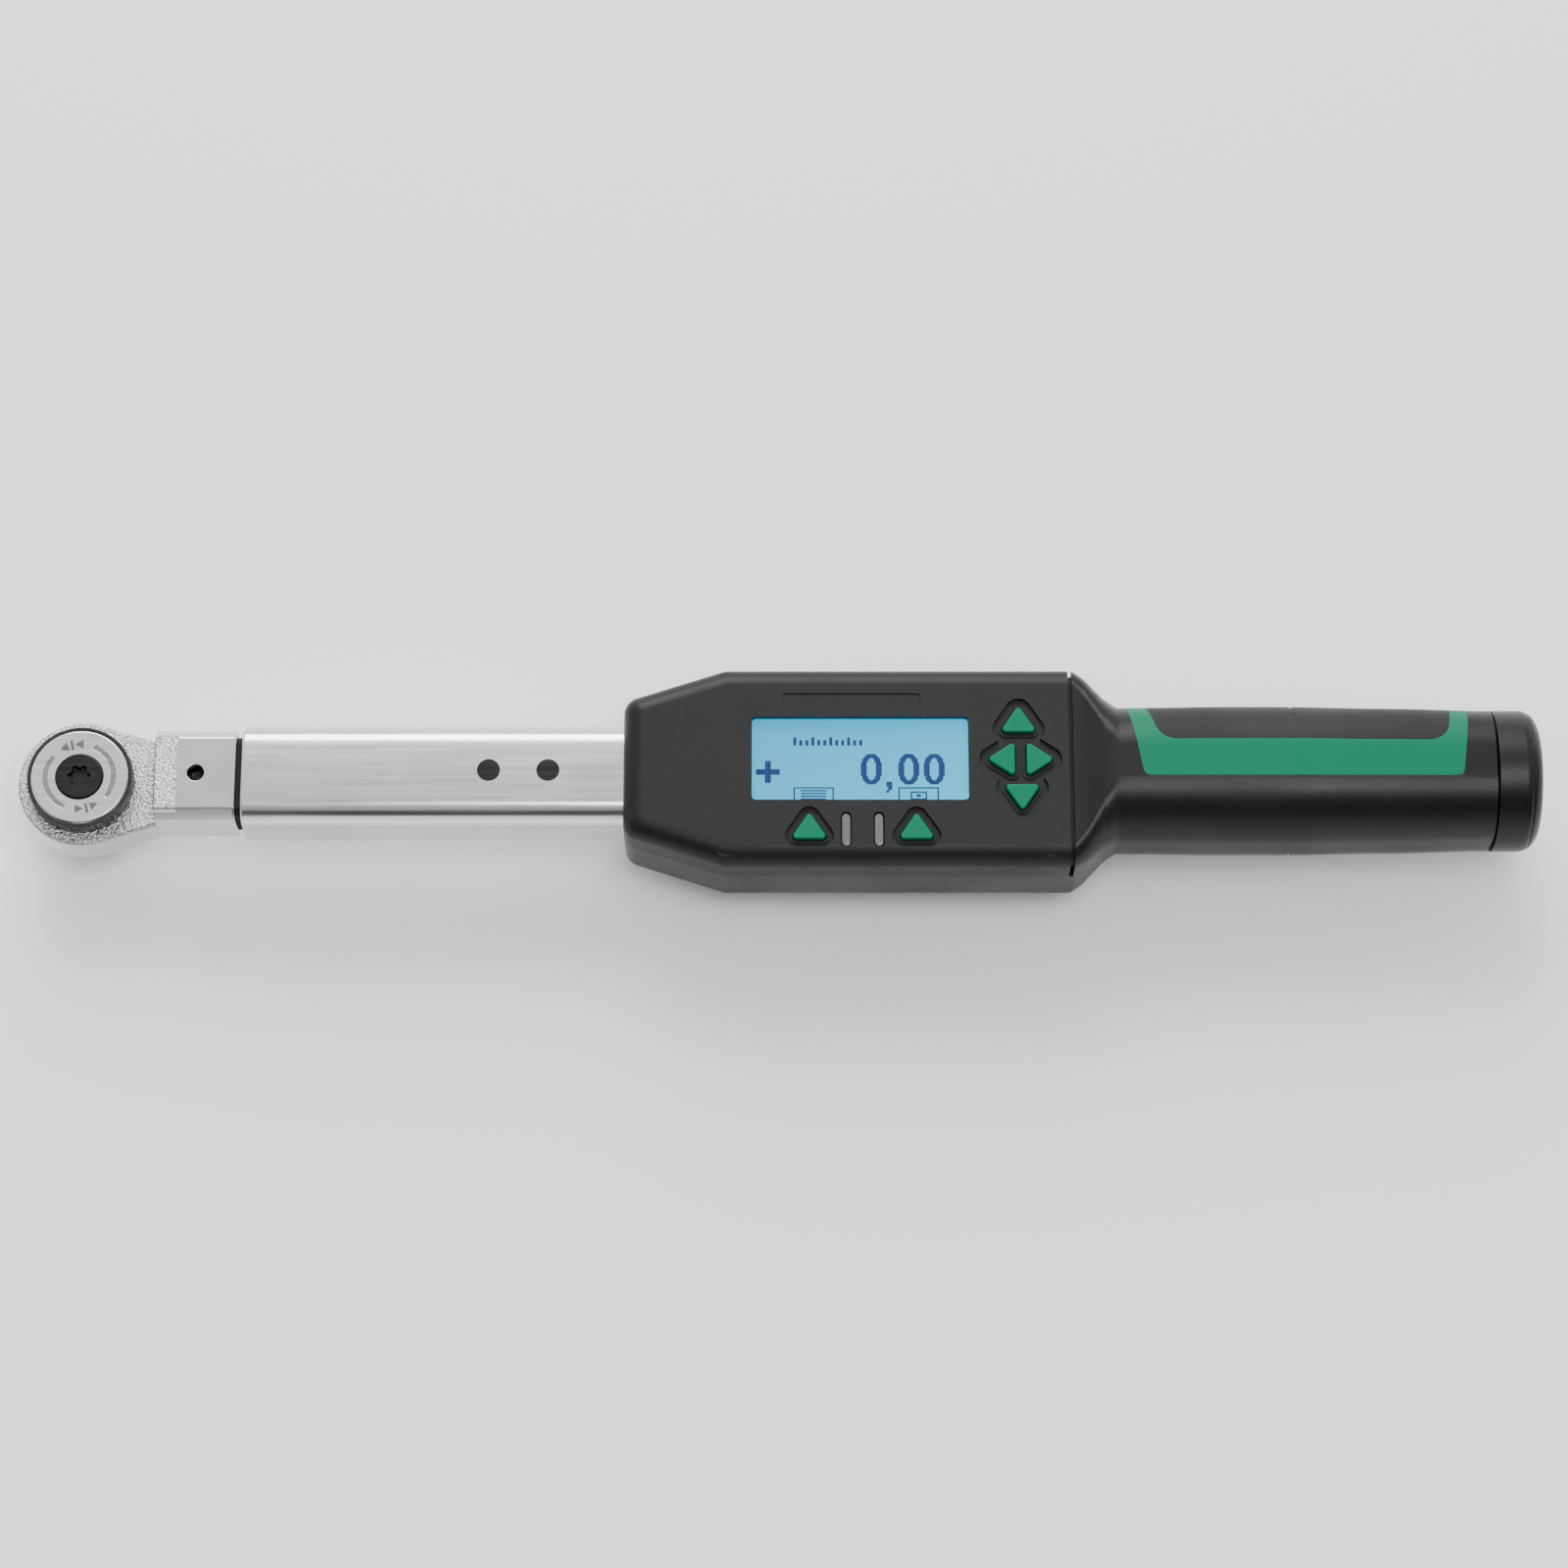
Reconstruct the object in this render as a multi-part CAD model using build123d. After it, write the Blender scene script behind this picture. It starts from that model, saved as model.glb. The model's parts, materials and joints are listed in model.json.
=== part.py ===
"""Electronic torque wrench with a plug-in ratchet head.

Frame: millimetres, +X from the ratchet towards the end cap, +Z out of the display, origin on the square
drive's axis in the plane that a socket's end seats against.
"""
import os
from functools import cache
from math import cos, radians, sin

from build123d import *

# --- main line ---------------------------------------------------------------------------------------
AXIS_Z = 11.5                 # centre line of tube, beam and batteries above the socket plane
RUNNING = 0.05                # radial clearance of turning and sliding fits
AIR = 0.3                     # gap between parts that only pass each other

# --- ratchet head ------------------------------------------------------------------------------------
HEAD_RADIUS = 17.3
HEAD_THICKNESS = 12.0
HEAD_EDGE = 0.8
NECK_HALF_WIDTH = 11.6
COVER_THICKNESS = 2.0
COVER_RADIUS = 16.0
COVER_LOBE_X = 11.4
COVER_LOBE_RADIUS = 7.6
COVER_SCREW_CIRCLE = 14.6
COVER_SCREW_ANGLES = (90, 180, 270)
COVER_SCREW_RADIUS = 0.8
COVER_SCREW_HEAD_RADIUS = 1.35
COVER_SCREW_HEAD_HEIGHT = 1.2
COVER_SCREW_LENGTH = 6.5
ROOF_THICKNESS = 3.0

TOOTH_COUNT = 60
TOOTH_TIP_RADIUS = 12.2
TOOTH_ROOT_RADIUS = 11.5
WHEEL_GAP = 0.4               # wheel to cavity wall
LOWER_JOURNAL_RADIUS = 9.6
UPPER_JOURNAL_RADIUS = 8.0
HUB_RADIUS = 7.0
HUB_TOP_Z = 15.4
DRIVE_SQUARE = 12.7
DRIVE_LENGTH = 15.5
DRIVE_EDGE = 1.2
BALL_RADIUS = 2.0
BALL_DEPTH_Z = -9.0
BALL_PROUD = 0.9
BALL_POCKET_END_Y = 1.4
BALL_SPRING_LENGTH = 3.2      # length when the ball is pressed in
BALL_SPRING_RADIUS = 1.2
BALL_SPRING_WIRE = 0.25

PAWL_PIVOT_X = 15.6
PAWL_PIN_RADIUS = 1.0
PAWL_BOSS_RADIUS = 2.0
PAWL_INNER_RADIUS = 12.55
PAWL_OUTER_RADIUS = 15.2
PAWL_HALF_ANGLE = 21.0
PAWL_TILT = 1.2
PAWL_Z = (2.4, 8.6)

RING_RADIUS = 14.1
RING_TOP_Z = 17.4
DISC_RADIUS = 13.3
DISC_TOP_Z = 17.7
DISC_THICKNESS = 2.2
SELECTOR_TILT = 14.5          # the ring rests at one end of its swing
SWING_SPARE = 4.5             # slot past each end of the swing, degrees
PLUNGER_CIRCLE = 13.0
PLUNGER_RADIUS = 0.6
PLUNGER_TIP_Z = 7.3
PLUNGER_LENGTH = 6.7
PLUNGER_SPRING_RADIUS = 0.4
PLUNGER_SPRING_WIRE = 0.12
GROOVE_RADII = (8.6, 9.8)
GROOVE_HALF_ANGLE = 52.0
GROOVE_DEPTH = 0.4
DISC_SCREW_RADIUS = 6.4
DISC_SCREW_TOP_Z = 18.5
DISC_SCREW_SHANK_RADIUS = 3.0
DISC_SCREW_DEPTH = 8.0
TORX_RADIUS = 3.1
TORX_DEPTH = 1.8

# --- insert tongue and measuring beam ----------------------------------------------------------------
SHOULDER_X = HEAD_RADIUS + 3.1
TONGUE_WIDTH = 12.0
TONGUE_HEIGHT = 9.0
TONGUE_LENGTH = 17.5
TONGUE_CLEARANCE = 0.1
HOLDER_END_X = SHOULDER_X + 22.0
HOLDER_WIDTH = 25.4
HOLDER_HEIGHT = 19.0
HOLDER_CHAMFER = 2.8
RELEASE_X = SHOULDER_X + 11.2
RELEASE_RADIUS = 2.3
CATCH_RADIUS = 2.1
CATCH_LENGTH = 7.0
CATCH_PROUD = 1.6
CATCH_TRAVEL = 1.7
CATCH_SPRING_RADIUS = 1.3
CATCH_SPRING_WIRE = 0.3
BEAM_NECK = (16.0, 15.0)      # width, height where the beam passes the seal
BEAM_WAIST_WIDTH = 11.0
BEAM_WAIST_X = (58.0, 92.0)
BEAM_FOOT_X = (104.0, 133.0)
PIN_X = (110.3, 126.2)
PIN_RADIUS = 3.1
GAUGE_SIZE = (8.0, 0.3, 5.0)
GAUGE_X = (66.0, 82.0)
LEAD_RADIUS = 0.7
LEAD_ROOM = 0.8               # clearance of the lead in the beam's foot
LEAD_BEND = 2.5
LEAD_HOLE_RADIUS = 2.0
LEAD_END_Y = 5.0
LEAD_Y = 9.9
LEAD_EXIT_X = 176.0

# --- tube --------------------------------------------------------------------------------------------
TUBE_START_X = HOLDER_END_X + 1.6
TUBE_END_X = 368.0
TUBE_WIDTH = 28.0
TUBE_HEIGHT = 23.0
TUBE_CORNER = 6.0
TUBE_WALL = 2.0
SEAL_SETBACK = 1.6            # the seal lies this far inside the holder's outline

# --- display housing ---------------------------------------------------------------------------------
HOUSING_START_X = 146.5
HOUSING_FULL_X = 173.5
HOUSING_END_X = 266.6
HOUSING_HALF_WIDTH = 27.6
NOSE_HALF_WIDTH = 18.8
HOUSING_TOP_Z = 29.0
HOUSING_BOTTOM_Z = -3.5
HOUSING_EDGE = 5.5
NOSE_CORNER = 4.5
WALL = 2.2
LID_SEAM_Z = 15.8
LID_END_X = 265.5
PARTING_Z = AXIS_Z
BOARD_TOP_Z = 24.6
BOARD_THICKNESS = 1.2
BOARD_X = (154.0, 262.0)
BOARD_HALF_WIDTH = 23.5
POST_Y = HOUSING_HALF_WIDTH - 5.2
SCREW_POSTS = ((174.0, POST_Y), (174.0, -POST_Y), (260.0, POST_Y), (260.0, -POST_Y))
POST_RADIUS = 3.4
SHELL_SCREW_RADIUS = 1.5
SHELL_SCREW_HEAD_RADIUS = 2.7
SHELL_SCREW_HEAD_HEIGHT = 2.4
SHELL_SCREW_SINK = 1.5
SHELL_SCREW_LENGTH = 24.0

WINDOW_X = (180.8, 238.6)
WINDOW_Y = (-10.4, 13.0)
WINDOW_DEPTH = 1.8
WINDOW_THICKNESS = 1.2
WINDOW_LAP = 1.4
WINDOW_CORNER = 1.2
PANEL_THICKNESS = 1.2
FRAME_LAP = 1.6

KEY_TOP_Z = 29.5
KEY_BOTTOM_Z = 25.9
KEY_FLANGE = 0.9
KEY_FLANGE_HEIGHT = 0.6
KEY_CORNER = 0.9
KEY_BASE = 10.2               # side across the flat base, before the corners are rounded
KEY_HEIGHT = 7.6
KEY_RECESS_DEPTH = 1.4
# node name: centre of the base line (x, y) and the direction its point faces, degrees
ARROW_KEYS = {
    "key_up": (252.0, 8.6, 90.0),
    "key_down": (252.8, -6.1, -90.0),
    "key_left": (251.0, 1.0, 180.0),
    "key_right": (254.0, 1.0, 0.0),
}
SOFT_KEYS = {
    "soft_key_left": (196.1, -21.4, 90.0),
    "soft_key_right": (224.6, -21.4, 90.0),
}
ARROW_RECESS = 2.7
SOFT_RECESS = 2.2
DOME_RADIUS = 2.2
DOME_HEIGHT = 0.25
ARROW_MAT = (242.8, 261.8, -13.5, 15.0)     # X and Y limits
SOFT_MAT = (190.0, 230.5, -22.8, -13.6)
MAT_THICKNESS = 0.4
GUIDE_X = (205.9, 214.6)
GUIDE_Y = (-23.6, -13.8)
GUIDE_WIDTH = 2.9
GUIDE_SINK = 0.4
LAMP_SIZE = (2.0, 3.0, 0.8)
BUZZER_RADIUS = 4.5
BUZZER_HEIGHT = 4.0
BUZZER_PLACE = (243.0, 19.5)
PLATE_RECESS = (37.0, 4.6, 0.4)
PLATE_CENTRE = (207.5, 17.4)

# --- neck and handle ---------------------------------------------------------------------------------
CAP_AXIS_Z = 13.7             # centre line of the handle and its cap
HANDLE_START_X = 279.0
HANDLE_END_X = 379.0
HANDLE_HALF = 18.7
HANDLE_CORNER = 15.0
# flare between housing and handle: share of the length, share of the narrowing
NECK_STEPS = ((0.0, 0.0), (0.3, 0.28), (0.66, 0.71), (1.0, 1.0))
HANDLE_HOLLOW = (32.2, 29.4)     # width, height
HANDLE_HOLLOW_CORNER = 12.0
NECK_HOLLOW_X = 268.2
END_WALL = 8.0
RIB_X = (286.0, 318.0, 350.0)
RIB_THICKNESS = 2.4
BAND_DEPTH = 1.2
BAND_FRONT_Y = -4.6
PAD_FRONT_Y = 5.6
BAND_X = (280.5, 285.2, 370.0, 373.0)     # back left, front left, front right, back right
PAD_X = (285.6, 289.6, 366.0, 368.6)
BAND_CORNER = 2.0
PAD_CORNER = 6.0

# --- battery compartment and cap ---------------------------------------------------------------------
CELL_RADIUS = 7.25
CELL_LENGTH = 50.5
CELL_START_X = 266.2
SLEEVE_BORE = 7.6
CELL_BUTTON = (2.7, 1.2)      # radius, height
CELL_SPRING_RADIUS = 4.0
CELL_SPRING_WIRE = 0.5
FRONT_CONTACT_RADIUS = 5.0
CONTACT_THICKNESS = 0.8
CAP_START_X = 379.6
CAP_END_X = 391.7
CAP_RADIUS = 19.0
CAP_EDGE = 5.0
CAP_WALL = 3.0
SPIGOT_RADIUS = 13.4
SPIGOT_WALL = 2.2
SPIGOT_LENGTH = 9.0
CAP_SEAL_RADIUS = 0.7
CARRIER_RADIUS = 10.0
CARRIER_X = 373.2
CARRIER_THICKNESS = 1.2
POST_STEM_RADIUS = 2.0
POST_HEAD_RADIUS = 3.2
POST_HEAD_X = 384.0
POST_HEAD_THICKNESS = 1.5


def block(x0, x1, y0, y1, z0, z1):
    """Box between two corners."""
    return Pos((x0 + x1) / 2, (y0 + y1) / 2, (z0 + z1) / 2) * Box(x1 - x0, y1 - y0, z1 - z0)


def rod(radius, z0, z1, x=0.0, y=0.0):
    """Upright cylinder."""
    return Pos(x, y, (z0 + z1) / 2) * Cylinder(radius, z1 - z0)


def bar(radius, x0, x1, y=0.0, z=AXIS_Z):
    """Cylinder along X."""
    return Pos((x0 + x1) / 2, y, z) * Rot(0, 90, 0) * Cylinder(radius, x1 - x0)


def prism(outline, z0, z1):
    """Sketch in XY made solid between two heights."""
    return Pos(0, 0, z0) * extrude(outline, z1 - z0)


def bar_section(width, height, corner, x0, x1, z=AXIS_Z):
    """Rounded rectangular bar along X."""
    face = Plane(origin=(x0, 0, z), x_dir=(0, 1, 0), z_dir=(1, 0, 0)) * RectangleRounded(width, height, corner)
    return extrude(face, x1 - x0)


def coil(radius, wire, height, turns):
    """Helical spring along +Z from the origin."""
    path = Helix(height / turns, height, radius)
    start = Plane(origin=path @ 0, z_dir=path % 0)
    return sweep(start * Circle(wire), path, is_frenet=True)


def one(shape):
    """The shape itself, or its only solid when a boolean returned a list."""
    solids = shape.solids()
    return solids[0] if len(solids) == 1 else Compound(children=list(solids))


# --- ratchet head ------------------------------------------------------------------------------------
def pear(radius, lobe_x, lobe_radius):
    """Outline round two circles on the X axis."""
    edges = Circle(radius).edges() + (Pos(lobe_x, 0) * Circle(lobe_radius)).edges()
    return make_hull(edges)


def head_outline():
    """Round head running into the neck."""
    neck = Pos(SHOULDER_X - 1, 0) * Rectangle(2, 2 * NECK_HALF_WIDTH)
    return make_hull(Circle(HEAD_RADIUS).edges() + neck.edges())


def sector(inner, outer, half_angle):
    """Ring segment about the drive axis, facing +X."""
    reach = 2 * outer
    corner = (reach * cos(radians(half_angle)), reach * sin(radians(half_angle)))
    wedge = Polygon((0, 0), (corner[0], -corner[1]), corner, align=None)
    return (Circle(outer) - Circle(inner)) & wedge


def cover_screw_places():
    """Centre of each cover screw."""
    return [
        (COVER_SCREW_CIRCLE * cos(radians(a)), COVER_SCREW_CIRCLE * sin(radians(a)))
        for a in COVER_SCREW_ANGLES
    ]


def cover_screws():
    """Countersunk screws that hold the cover plate, seen from below."""
    screws = []
    for x, y in cover_screw_places():
        head = rod(COVER_SCREW_HEAD_RADIUS, 0, COVER_SCREW_HEAD_HEIGHT, x, y)
        slot = Pos(x, y, 0.3) * extrude(RegularPolygon(0.6, 6), -0.6)
        shank = rod(COVER_SCREW_RADIUS, COVER_SCREW_HEAD_HEIGHT, COVER_SCREW_LENGTH, x, y)
        screws.append(head + shank - slot)
    return screws


def screw_cutters():
    """Room for the cover screws."""
    cutters = []
    for x, y in cover_screw_places():
        cutters.append(
            rod(COVER_SCREW_HEAD_RADIUS, 0, COVER_SCREW_HEAD_HEIGHT, x, y)
            + rod(COVER_SCREW_RADIUS, COVER_SCREW_HEAD_HEIGHT, COVER_SCREW_LENGTH, x, y)
        )
    return cutters


def tongue_box(grow=0.0):
    """Rectangular tongue along X, grown on its four sides."""
    return block(
        SHOULDER_X - 4, SHOULDER_X + TONGUE_LENGTH,
        -TONGUE_WIDTH / 2 - grow, TONGUE_WIDTH / 2 + grow,
        AXIS_Z - TONGUE_HEIGHT / 2 - grow, AXIS_Z + TONGUE_HEIGHT / 2 + grow,
    )


def catch_top():
    """Height of the tongue's upper face."""
    return AXIS_Z + TONGUE_HEIGHT / 2


def ratchet_body():
    """Forged head, neck and tongue, open from below for the wheel and the pawl."""
    roof_z = HEAD_THICKNESS - ROOF_THICKNESS
    body = prism(head_outline(), 0, HEAD_THICKNESS)
    rims = body.edges().filter_by(Axis.Z, reverse=True).filter_by(lambda e: e.center().X < SHOULDER_X - 0.5)
    body = fillet(rims, HEAD_EDGE)
    tongue = tongue_box() - block(-99, SHOULDER_X, -99, 99, HEAD_THICKNESS, 99)
    body = body + tongue
    body -= prism(pear(COVER_RADIUS, COVER_LOBE_X, COVER_LOBE_RADIUS), 0, COVER_THICKNESS)
    body -= rod(TOOTH_TIP_RADIUS + WHEEL_GAP, COVER_THICKNESS, roof_z)
    pocket = sector(TOOTH_ROOT_RADIUS, PAWL_OUTER_RADIUS + 0.4, PAWL_HALF_ANGLE + 4)
    pocket += Pos(PAWL_PIVOT_X, 0) * Circle(PAWL_BOSS_RADIUS + 0.4)
    body -= prism(pocket, COVER_THICKNESS, roof_z)
    body -= rod(UPPER_JOURNAL_RADIUS + RUNNING, roof_z, HEAD_THICKNESS)
    body -= rod(PAWL_PIN_RADIUS, roof_z, roof_z + 2, PAWL_PIVOT_X)
    slot_half = PLUNGER_RADIUS + AIR
    swing = sector(PLUNGER_CIRCLE - slot_half, PLUNGER_CIRCLE + slot_half, SELECTOR_TILT + SWING_SPARE)
    body -= prism(swing, roof_z, HEAD_THICKNESS)
    for cutter in screw_cutters():
        body -= cutter
    body -= rod(CATCH_RADIUS + RUNNING, catch_top() - CATCH_LENGTH, catch_top(), RELEASE_X)
    return one(body)


def cover_plate():
    """Plate under the wheel and the pawl."""
    plate = prism(pear(COVER_RADIUS, COVER_LOBE_X, COVER_LOBE_RADIUS), 0, COVER_THICKNESS)
    plate -= rod(LOWER_JOURNAL_RADIUS + RUNNING, 0, COVER_THICKNESS)
    plate -= rod(PAWL_PIN_RADIUS, 1.0, COVER_THICKNESS, PAWL_PIVOT_X)
    for cutter in screw_cutters():
        plate -= cutter
    return one(plate)


def gear_outline():
    """Fine symmetric teeth round the drive wheel."""
    points = []
    for i in range(2 * TOOTH_COUNT):
        radius = TOOTH_TIP_RADIUS if i % 2 == 0 else TOOTH_ROOT_RADIUS
        angle = radians(180 * i / TOOTH_COUNT)
        points.append((radius * cos(angle), radius * sin(angle)))
    return Polygon(*points, align=None)


def ball_place():
    """Centre of the socket ball on the square's front side."""
    return -DRIVE_SQUARE / 2 - BALL_PROUD + BALL_RADIUS


def drive_wheel():
    """Toothed wheel with both journals, the hub for the ring and the square drive."""
    teeth_bottom = COVER_THICKNESS + 0.1
    teeth_top = HEAD_THICKNESS - ROOF_THICKNESS - 0.1
    wheel = prism(gear_outline(), teeth_bottom, teeth_top)
    wheel += rod(LOWER_JOURNAL_RADIUS, 0, teeth_bottom)
    wheel += rod(UPPER_JOURNAL_RADIUS, teeth_top, HEAD_THICKNESS + 0.1)
    wheel += rod(HUB_RADIUS, HEAD_THICKNESS + 0.1, HUB_TOP_Z)
    square = Pos(0, 0, -DRIVE_LENGTH / 2) * Box(DRIVE_SQUARE, DRIVE_SQUARE, DRIVE_LENGTH)
    square = chamfer(square.edges().filter_by(Axis.Z), DRIVE_EDGE)
    square = chamfer(square.faces().sort_by(Axis.Z)[0].edges(), 0.8)
    wheel += square
    wheel -= rod(DISC_SCREW_SHANK_RADIUS, HUB_TOP_Z - DISC_SCREW_DEPTH, HUB_TOP_Z)
    pocket_depth = BALL_POCKET_END_Y + DRIVE_SQUARE
    pocket = Pos(0, BALL_POCKET_END_Y - pocket_depth / 2, BALL_DEPTH_Z) * Rot(90, 0, 0) * Cylinder(
        BALL_RADIUS + RUNNING, pocket_depth)
    return one(wheel - pocket)


def detent_ball():
    """Spring ball in the square that holds a socket."""
    return Pos(0, ball_place(), BALL_DEPTH_Z) * Sphere(BALL_RADIUS)


def ball_spring():
    """Small coil behind the ball."""
    start_y = BALL_POCKET_END_Y - BALL_SPRING_LENGTH - 2 * BALL_SPRING_WIRE
    spring = coil(BALL_SPRING_RADIUS, BALL_SPRING_WIRE, BALL_SPRING_LENGTH, 4)
    return one(Pos(0, start_y, BALL_DEPTH_Z) * Rot(-90, 0, 0) * spring)


def pawl():
    """Double-ended pawl, tilted to one side."""
    shape = prism(sector(PAWL_INNER_RADIUS, PAWL_OUTER_RADIUS, PAWL_HALF_ANGLE), *PAWL_Z)
    shape += rod(PAWL_BOSS_RADIUS, *PAWL_Z, PAWL_PIVOT_X)
    step = sector(0.5, PLUNGER_CIRCLE + PLUNGER_RADIUS + AIR, 60)
    shape -= prism(step, PLUNGER_TIP_Z - AIR, HEAD_THICKNESS)
    shape -= rod(PAWL_PIN_RADIUS + RUNNING, 0, HEAD_THICKNESS, PAWL_PIVOT_X)
    turn = Pos(PAWL_PIVOT_X, 0, 0) * Rot(0, 0, PAWL_TILT) * Pos(-PAWL_PIVOT_X, 0, 0)
    return one(turn * shape)


def pawl_pin():
    """Pin that the pawl rocks on."""
    return rod(PAWL_PIN_RADIUS, 1.0, HEAD_THICKNESS - ROOF_THICKNESS + 2, PAWL_PIVOT_X)


def selector_turn():
    """Places a part of the selector at the resting end of its swing."""
    return Rot(0, 0, SELECTOR_TILT)


def reversing_ring():
    """Knurled ring round the hub, with the pocket for the plunger and the seat for the disc."""
    base_z = HEAD_THICKNESS + AIR
    ring = rod(RING_RADIUS, base_z, RING_TOP_Z) - rod(HUB_RADIUS + RUNNING, base_z, RING_TOP_Z)
    ring -= rod(DISC_RADIUS, DISC_TOP_Z - DISC_THICKNESS, RING_TOP_Z)
    ring -= rod(PLUNGER_RADIUS, base_z, HUB_TOP_Z, PLUNGER_CIRCLE)
    return one(selector_turn() * ring)


def reversing_plunger():
    """Sprung plunger that the ring carries over to either end of the pawl."""
    shape = rod(PLUNGER_RADIUS, PLUNGER_TIP_Z, PLUNGER_TIP_Z + PLUNGER_LENGTH, PLUNGER_CIRCLE)
    return one(selector_turn() * shape)


def plunger_spring():
    """Spring above the plunger."""
    low = PLUNGER_TIP_Z + PLUNGER_LENGTH
    spring = coil(PLUNGER_SPRING_RADIUS, PLUNGER_SPRING_WIRE, HUB_TOP_Z - low - 0.4, 2)
    return one(selector_turn() * Pos(PLUNGER_CIRCLE, 0, low + 0.15) * spring)


def reversing_disc():
    """Bright disc on the ring, with two arc grooves beside its direction marks."""
    low = DISC_TOP_Z - DISC_THICKNESS
    disc = rod(DISC_RADIUS, low, DISC_TOP_Z) - rod(DISC_SCREW_RADIUS + RUNNING, low, DISC_TOP_Z)
    disc = chamfer(disc.edges().filter_by(GeomType.CIRCLE).sort_by(Axis.Z)[-2:].sort_by(SortBy.RADIUS)[-1:], 0.5)
    groove = prism(sector(*GROOVE_RADII, GROOVE_HALF_ANGLE), DISC_TOP_Z - GROOVE_DEPTH, DISC_TOP_Z)
    disc -= groove
    disc -= Rot(0, 0, 180) * groove
    return one(selector_turn() * disc)


def disc_screw():
    """Wide-headed screw down into the drive wheel."""
    head = rod(DISC_SCREW_RADIUS, HUB_TOP_Z, DISC_SCREW_TOP_Z)
    head = chamfer(head.edges().filter_by(GeomType.CIRCLE).sort_by(Axis.Z)[-1:], 0.35)
    lobes = Circle(TORX_RADIUS * 0.75)
    for i in range(6):
        lobes += Rot(0, 0, 60 * i) * Pos(TORX_RADIUS * 0.74, 0) * Circle(TORX_RADIUS * 0.26)
    head -= prism(lobes, DISC_SCREW_TOP_Z - TORX_DEPTH, DISC_SCREW_TOP_Z)
    return one(head + rod(DISC_SCREW_SHANK_RADIUS, HUB_TOP_Z - DISC_SCREW_DEPTH, HUB_TOP_Z))


def catch_pin():
    """Round-nosed catch in the tongue."""
    top = catch_top() + CATCH_PROUD
    low = top - CATCH_LENGTH + CATCH_TRAVEL + 1.6
    pin = rod(CATCH_RADIUS, low, top, RELEASE_X)
    return one(fillet(pin.edges().sort_by(Axis.Z)[-1:], 0.9))


def catch_spring():
    """Spring under the catch pin."""
    low = catch_top() - CATCH_LENGTH
    height = CATCH_PROUD + 0.6
    spring = coil(CATCH_SPRING_RADIUS, CATCH_SPRING_WIRE, height, 3)
    return one(Pos(RELEASE_X, 0, low + CATCH_SPRING_WIRE) * spring)


# --- beam and tube -----------------------------------------------------------------------------------
def holder():
    """Front block of the beam with the mouth for the tongue and the release hole."""
    half_height = HOLDER_HEIGHT / 2
    section = Plane(origin=(SHOULDER_X, 0, AXIS_Z), x_dir=(0, 1, 0), z_dir=(1, 0, 0)) * Rectangle(
        HOLDER_WIDTH, HOLDER_HEIGHT)
    shape = extrude(section, HOLDER_END_X - SHOULDER_X)
    shape = chamfer(shape.edges().filter_by(Axis.X), HOLDER_CHAMFER)
    shape = fillet(shape.faces().sort_by(Axis.X)[0].edges() + shape.faces().sort_by(Axis.X)[-1].edges(), 0.7)
    mouth = tongue_box(TONGUE_CLEARANCE) & block(SHOULDER_X, 99, -99, 99, -99, 99)
    catch_room = rod(RELEASE_RADIUS, AXIS_Z, AXIS_Z + half_height, RELEASE_X)
    return shape - mouth - catch_room


def measuring_beam():
    """Holder, bending section and pinned foot in one piece of steel."""
    width, height = BEAM_NECK
    inner_width = TUBE_WIDTH - 2 * TUBE_WALL
    inner_height = TUBE_HEIGHT - 2 * TUBE_WALL
    beam = holder()
    beam += bar_section(width, height, 2.0, HOLDER_END_X - 0.5, BEAM_FOOT_X[0] + 2)
    for y0, y1 in ((BEAM_WAIST_WIDTH / 2, width), (-width, -BEAM_WAIST_WIDTH / 2)):
        beam -= block(*BEAM_WAIST_X, y0, y1, AXIS_Z - height, AXIS_Z + height)
    beam += bar_section(inner_width, inner_height, TUBE_CORNER - TUBE_WALL, *BEAM_FOOT_X)
    room = LEAD_RADIUS + LEAD_ROOM
    beam -= block(*BEAM_FOOT_X, LEAD_Y - room, TUBE_WIDTH, AXIS_Z - room, AXIS_Z + room)
    for x in PIN_X:
        beam -= rod(PIN_RADIUS, 0, 2 * AXIS_Z, x)
    return one(beam)


def beam_seal():
    """Rubber ring that closes the gap between holder and tube."""
    inset = 2 * SEAL_SETBACK
    ring = bar_section(HOLDER_WIDTH - inset, HOLDER_HEIGHT - inset, 2.5, HOLDER_END_X, TUBE_START_X)
    return one(ring - bar_section(*BEAM_NECK, 2.0, HOLDER_END_X, TUBE_START_X))


def beam_pins():
    """Cross pins that hold the beam's foot in the tube."""
    low = AXIS_Z - TUBE_HEIGHT / 2
    return [rod(PIN_RADIUS, low + 0.1, low + TUBE_HEIGHT - 0.15, x) for x in PIN_X]


def gauge_places():
    """Low corner of each strain gauge."""
    length, thickness, _ = GAUGE_SIZE
    front = -BEAM_WAIST_WIDTH / 2 - thickness
    return [(x - length / 2, y) for x in GAUGE_X for y in (front, BEAM_WAIST_WIDTH / 2)]


def strain_gauges():
    """Foil gauges on both sides of the waist."""
    length, thickness, height = GAUGE_SIZE
    return [
        block(x, x + length, y, y + thickness, AXIS_Z - height / 2, AXIS_Z + height / 2)
        for x, y in gauge_places()
    ]


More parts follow.
